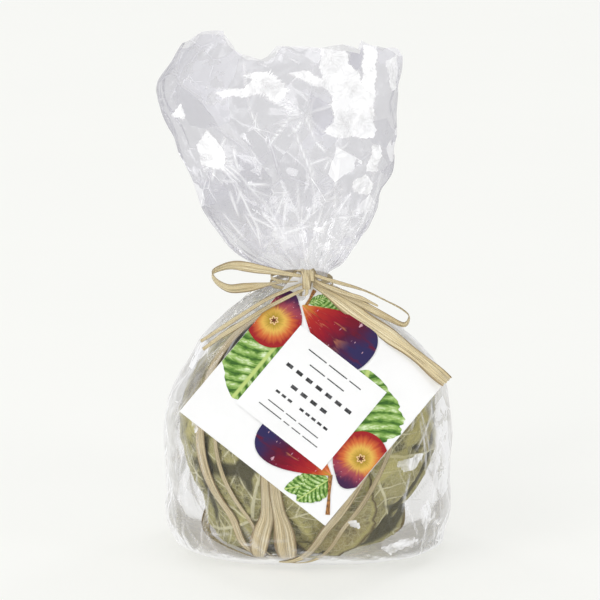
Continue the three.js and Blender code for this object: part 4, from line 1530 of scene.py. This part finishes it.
def stem_ink():
    net = Finish("printed stem")
    u, v, _ = net.split(net.uv())
    bark = net.noise(net.join(u * 6, v * 9, 0), 2, 2)
    return ink_finish(net, net.mix((0.13, 0.05, 0.02), (0.5, 0.24, 0.07), bark.smooth(0.35, 0.65)))


def both_sides(u, v):
    """An outline that runs out along one edge and back along its mirror image."""
    return [*zip(u, v), *zip(u[::-1][1:-1], -v[::-1][1:-1])]


def fig_outline(count=60):
    """A plump fig from its stem at u 0 to its eye at u 1."""
    t = np.linspace(0, math.pi, count)
    u = (1 - np.cos(t)) / 2
    v = 0.36 * np.sin(t) ** 0.9 * (0.1 + 0.9 * u**0.75) * 1.06
    return both_sides(u, v)


def eye_outline(count=64):
    """A round fig with a little shoulder towards its stem."""
    t = np.linspace(0, 2 * math.pi, count, endpoint=False)
    reach = 1 + 0.26 * np.exp(-(((t - 1.15) / 0.38) ** 2)) + 0.02 * np.sin(3 * t)
    return list(zip(reach * np.cos(t), reach * np.sin(t)))


def leaf_print_outline(lobes=5, count=140):
    """A broad leaf from its stalk at u 0 to its tip at u 1, scalloped along both edges."""
    u = np.linspace(0, 1, count)
    v = 0.5 * np.sin(math.pi * u**0.85) ** 0.7 * (1 - 0.25 * u)
    v = v * (1 + 0.1 * np.abs(np.sin(lobes * math.pi * u)) + 0.015 * np.sin(90 * u))
    return both_sides(u, v)


def stem_outline():
    return [(0, -0.1), (0.5, -0.055), (1, -0.1), (1, 0.1), (0.5, 0.055), (0, 0.1)]


# Printed pieces from the bottom layer up: shape, foot on the tag's frame, size, the angle its
# length points in, in degrees, and a squeeze across its length.
PRINTS = (
    ("leaf", (-8.6, 15.6), 26.5, -129, 1.12),
    ("leaf", (12.4, -20.5), 26.0, 74, 1.3),
    ("leaf", (1.2, 26.6), 13.5, -14, 0.62),
    ("leaf", (0.0, 27.2), 8.0, 22, 0.42),
    ("leaf", (6.6, -33.4), 15.0, 190, 0.62),
    ("leaf", (6.2, -33.0), 12.5, 214, 0.75),
    ("stem", (-1.4, 25.6), 7.0, 62, 1.0),
    ("stem", (7.0, -31.2), 13.6, -94, 0.55),
    ("long_fig", (-2.2, 26.6), 29.0, -41, 1.2),
    ("long_fig", (7.2, -31.4), 28.5, 143, 1.15),
    ("eye_fig", (-11.6, 21.4), 9.2, -8, 1.0),
    ("eye_fig", (17.0, -25.8), 9.2, 172, 1.0),
)
# Ruled lines on the panel: distance up from its middle, thickness, and where its dashes start
# and end.
RULES = (
    (12.3, 0.4, [(-11, -3.4), (-2.4, 5.2), (6.2, 11)]),
    (8.4, 0.4, [(-7.4, -1), (0, 7)]),
    (4.0, 1.25, [(-13.5 + 4.1 * k, -11.1 + 4.1 * k) for k in range(7)]),
    (-1.0, 1.25, [(-7.6 + 4.1 * k, -5.2 + 4.1 * k) for k in range(4)]),
    (-5.3, 0.85, [(-10.6 + 2.5 * k, -9.0 + 2.5 * k) for k in (0, 1, 2, 4, 5, 6, 7, 8)]),
    (-9.4, 0.35, [(-10.6, -4), (-3, 1.2), (2.2, 10.4)]),
    (-12.0, 0.35, [(-12.4, -3), (-2, 0.4), (1.4, 5), (6, 12.2)]),
)


def clip(outline, corners):
    """The part of an outline inside a convex shape whose corners run anticlockwise."""
    kept = [np.array(p, float) for p in outline]
    for a, b in zip(corners, np.roll(corners, -1, axis=0)):
        inward = np.array([a[1] - b[1], b[0] - a[0]])
        depths = [float((p - a) @ inward) for p in kept]
        new = []
        for i, p in enumerate(kept):
            q, dp, dq = kept[i - 1], depths[i], depths[i - 1]
            if (dp >= 0) != (dq >= 0):
                new.append(q + (p - q) * dq / (dq - dp))
            if dp >= 0:
                new.append(p)
        kept = new
    return kept


def print_on_card(name, outline, foot, size, angle, squeeze, layer, material):
    """Prints one flat shape on the card, cut off at the card's edge."""
    turn = math.radians(angle)
    axes = np.array([[math.cos(turn), math.sin(turn)], [-math.sin(turn), math.cos(turn)]])
    shape = np.array(outline) * [1, squeeze] * size @ axes + foot
    half = (TAG_SIDE - BARE_EDGE) / 2
    card = [TAG_MIDDLE + CARD_ALONG * half * a + CARD_UP * half * b for a, b in SQUARE]
    shape = np.array(clip(shape, card))
    spots = (shape - foot) @ axes.T / (np.array([1, squeeze]) * size)
    height = TAG_THICKNESS + INK_LIFT + layer * INK_STEP
    points = on_tag(np.column_stack([shape, np.full(len(shape), height)]))
    piece = new_piece(name, points, [list(range(len(points)))], material, smooth=False)
    set_uv(piece, spots)
    rework(piece, bmesh.ops.triangulate)
    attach(piece, "root")
    return piece


class FIGBALL_OT_tag(bpy.types.Operator):
    """Finish the card tag and print its figs, leaves and ruled panel"""

    bl_idname = "figball.tag"
    bl_label = "Card tag"

    def execute(self, context):
        settings = context.scene.figball.tag
        paper = card_material(settings)
        refinish(NODES["gift_tag"], paper)
        shapes = {
            "leaf": (leaf_print_outline(), leaf_ink()),
            "stem": (stem_outline(), stem_ink()),
            "long_fig": (fig_outline(), long_fig_ink()),
            "eye_fig": (eye_outline(), eye_fig_ink()),
        }
        for layer, (kind, foot, size, angle, squeeze) in enumerate(PRINTS):
            outline, ink = shapes[kind]
            title = f"printed_{kind}_{layer:02d}"
            print_on_card(title, outline, foot, size, angle, squeeze, layer, ink)
        slant = math.degrees(TAG_TURN) - 45
        wide, tall = settings.panel_width / MM, settings.panel_height / MM
        box = [(a / 2, b / 2) for a, b in SQUARE]
        top = len(PRINTS)
        print_on_card("tag_panel", box, TAG_MIDDLE, wide, slant, tall / wide, top, paper)
        net = Finish("panel ink")
        wear_and_glint_noise = net.noise(net.place(), 900, 2).smooth(0.4, 0.6)
        ink = ink_finish(net, net.mix((0.03, 0.03, 0.032), (0.09, 0.09, 0.095), wear_and_glint_noise))
        points, faces = [], []
        height = TAG_THICKNESS + INK_LIFT + (top + 1) * INK_STEP
        for up, thick, dashes in RULES:
            for start, end in dashes:
                faces.append([len(points) + k for k in range(4)])
                for a, b in ((start, -1), (end, -1), (end, 1), (start, 1)):
                    spot = TAG_MIDDLE + CARD_UP * (up + b * thick / 2) + CARD_ALONG * a
                    points.append([*spot, height])
        rules = new_piece("panel_rules", on_tag(points), faces, ink, smooth=False)
        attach(rules, "root")
        return {"FINISHED"}


# ------------------------------------------------------------------ the stage
# The share of the floor's light that comes up through it, as on a light table.
FLOOR_GLOW = 0.64
# Half the floor's width in millimetres.
FLOOR_HALF = 30000
# In metres: what the camera looks at, what the lights point at, and the ball's foot.
AIM = (-0.003, 0, 0.0852)
MIDDLE = (0, 0, 0.09)
FOOT = (0, 0, 0.03)
# Each soft light's place, aim, size and power in watts.
LIGHTS = {
    "key": ((-1.1, -1.5, 1.5), MIDDLE, (0.7, 0.9), 12),
    "fill": ((1.5, -1.3, 0.9), MIDDLE, (0.3, 1.2), 6),
    "strip_left": ((-1.7, -0.5, 0.6), MIDDLE, (0.25, 1.2), 4),
    "low_front": ((-0.2, -1.8, 0.25), FOOT, (1.4, 0.5), 6),
    "top": ((0, 0.2, 2.2), MIDDLE, (1.2, 1.2), 8),
    "back_left": ((-1.2, 1.6, 1.1), MIDDLE, (0.5, 1.0), 6),
    "back_right": ((1.3, 1.5, 1.1), MIDDLE, (0.5, 1.0), 6),
}


def area_light(name, place, aim, size, power):
    data = bpy.data.lights.new(name, "AREA")
    data.shape = "RECTANGLE"
    data.size, data.size_y = size
    data.energy = power
    light = bpy.data.objects.new(name, data)
    bpy.context.scene.collection.objects.link(light)
    light.location = place
    light.rotation_euler = (Vector(aim) - Vector(place)).to_track_quat("-Z", "Y").to_euler()


class FIGBALL_OT_stage(bpy.types.Operator):
    """Set up the camera, the pale floor and the soft studio light"""

    bl_idname = "figball.stage"
    bl_label = "Stage"

    def execute(self, context):
        settings = context.scene.figball.stage
        scene = context.scene
        scene.view_settings.view_transform = "Standard"

        data = bpy.data.cameras.new("camera")
        data.lens = data.sensor_width * settings.distance / settings.view_width
        data.clip_end = 50
        camera = bpy.data.objects.new("camera", data)
        scene.collection.objects.link(camera)
        back = Vector((0, -math.cos(settings.elevation), math.sin(settings.elevation)))
        camera.location = Vector(AIM) + back * settings.distance
        camera.rotation_euler = (-back).to_track_quat("-Z", "Y").to_euler()
        scene.camera = camera

        net = Finish("pale floor")
        grain = net.noise(net.place(), 14, 3)
        lit = Vector(settings.floor) * (1 - FLOOR_GLOW)
        shade = net.mix(tuple(lit * 0.985), tuple(lit), grain.smooth(0.3, 0.7))
        material = net.done(
            net.principled(
                Base_Color=shade,
                Roughness=0.9,
                Emission_Color=(*settings.floor, 1),
                Emission_Strength=FLOOR_GLOW,
            )
        )
        corners = [(a * FLOOR_HALF, b * FLOOR_HALF, 0) for a, b in SQUARE]
        floor = new_piece("floor", corners, [[0, 1, 2, 3]], material)

        world = bpy.data.worlds.new("studio")
        world.use_nodes = True
        scene.world = world
        net = Net(world.node_tree)
        rise = net.split(net.node("ShaderNodeTexCoord", output="Generated"))[2]
        sky = net.ramp(rise, [(0.0, (0.8, 0.8, 0.8)), (0.9, (1, 1, 1))])
        light = net.node("ShaderNodeBackground", {}, {"Color": sky, "Strength": 0.5})
        net.node("ShaderNodeOutputWorld", {}, {"Surface": light})

        for name, light in LIGHTS.items():
            area_light(name, *light)
        return {"FINISHED"}


class FIGBALL_PT_panel(bpy.types.Panel):
    """Sizes, colours and the pieces in the order they are made"""

    bl_label = "Fig ball"
    bl_idname = "FIGBALL_PT_panel"
    bl_space_type = "VIEW_3D"
    bl_region_type = "UI"
    bl_category = "Fig ball"

    def draw(self, context):
        settings = context.scene.figball
        for label in ("film", "leaf", "raffia", "tag", "stage"):
            group = getattr(settings, label)
            box = self.layout.box()
            box.label(text=label.capitalize())
            for key in group.__annotations__:
                box.prop(group, key)
        for operator in OPERATORS:
            self.layout.operator(operator.bl_idname)


OPERATORS = (
    FIGBALL_OT_stage,
    FIGBALL_OT_bow,
    FIGBALL_OT_figs,
    FIGBALL_OT_leaves,
    FIGBALL_OT_bindings,
    FIGBALL_OT_tag,
    FIGBALL_OT_film,
)
CLASSES = (
    FilmSettings,
    LeafSettings,
    RaffiaSettings,
    TagSettings,
    StageSettings,
    GiftSettings,
    *OPERATORS,
    FIGBALL_PT_panel,
)


def register():
    for cls in CLASSES:
        bpy.utils.register_class(cls)
    bpy.types.Scene.figball = PointerProperty(type=GiftSettings)


def unregister():
    del bpy.types.Scene.figball
    for cls in reversed(CLASSES):
        bpy.utils.unregister_class(cls)


def main():
    register()
    for operator in OPERATORS:
        group, name = operator.bl_idname.split(".")
        getattr(getattr(bpy.ops, group), name)()
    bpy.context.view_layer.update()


if __name__ == "__main__":
    main()
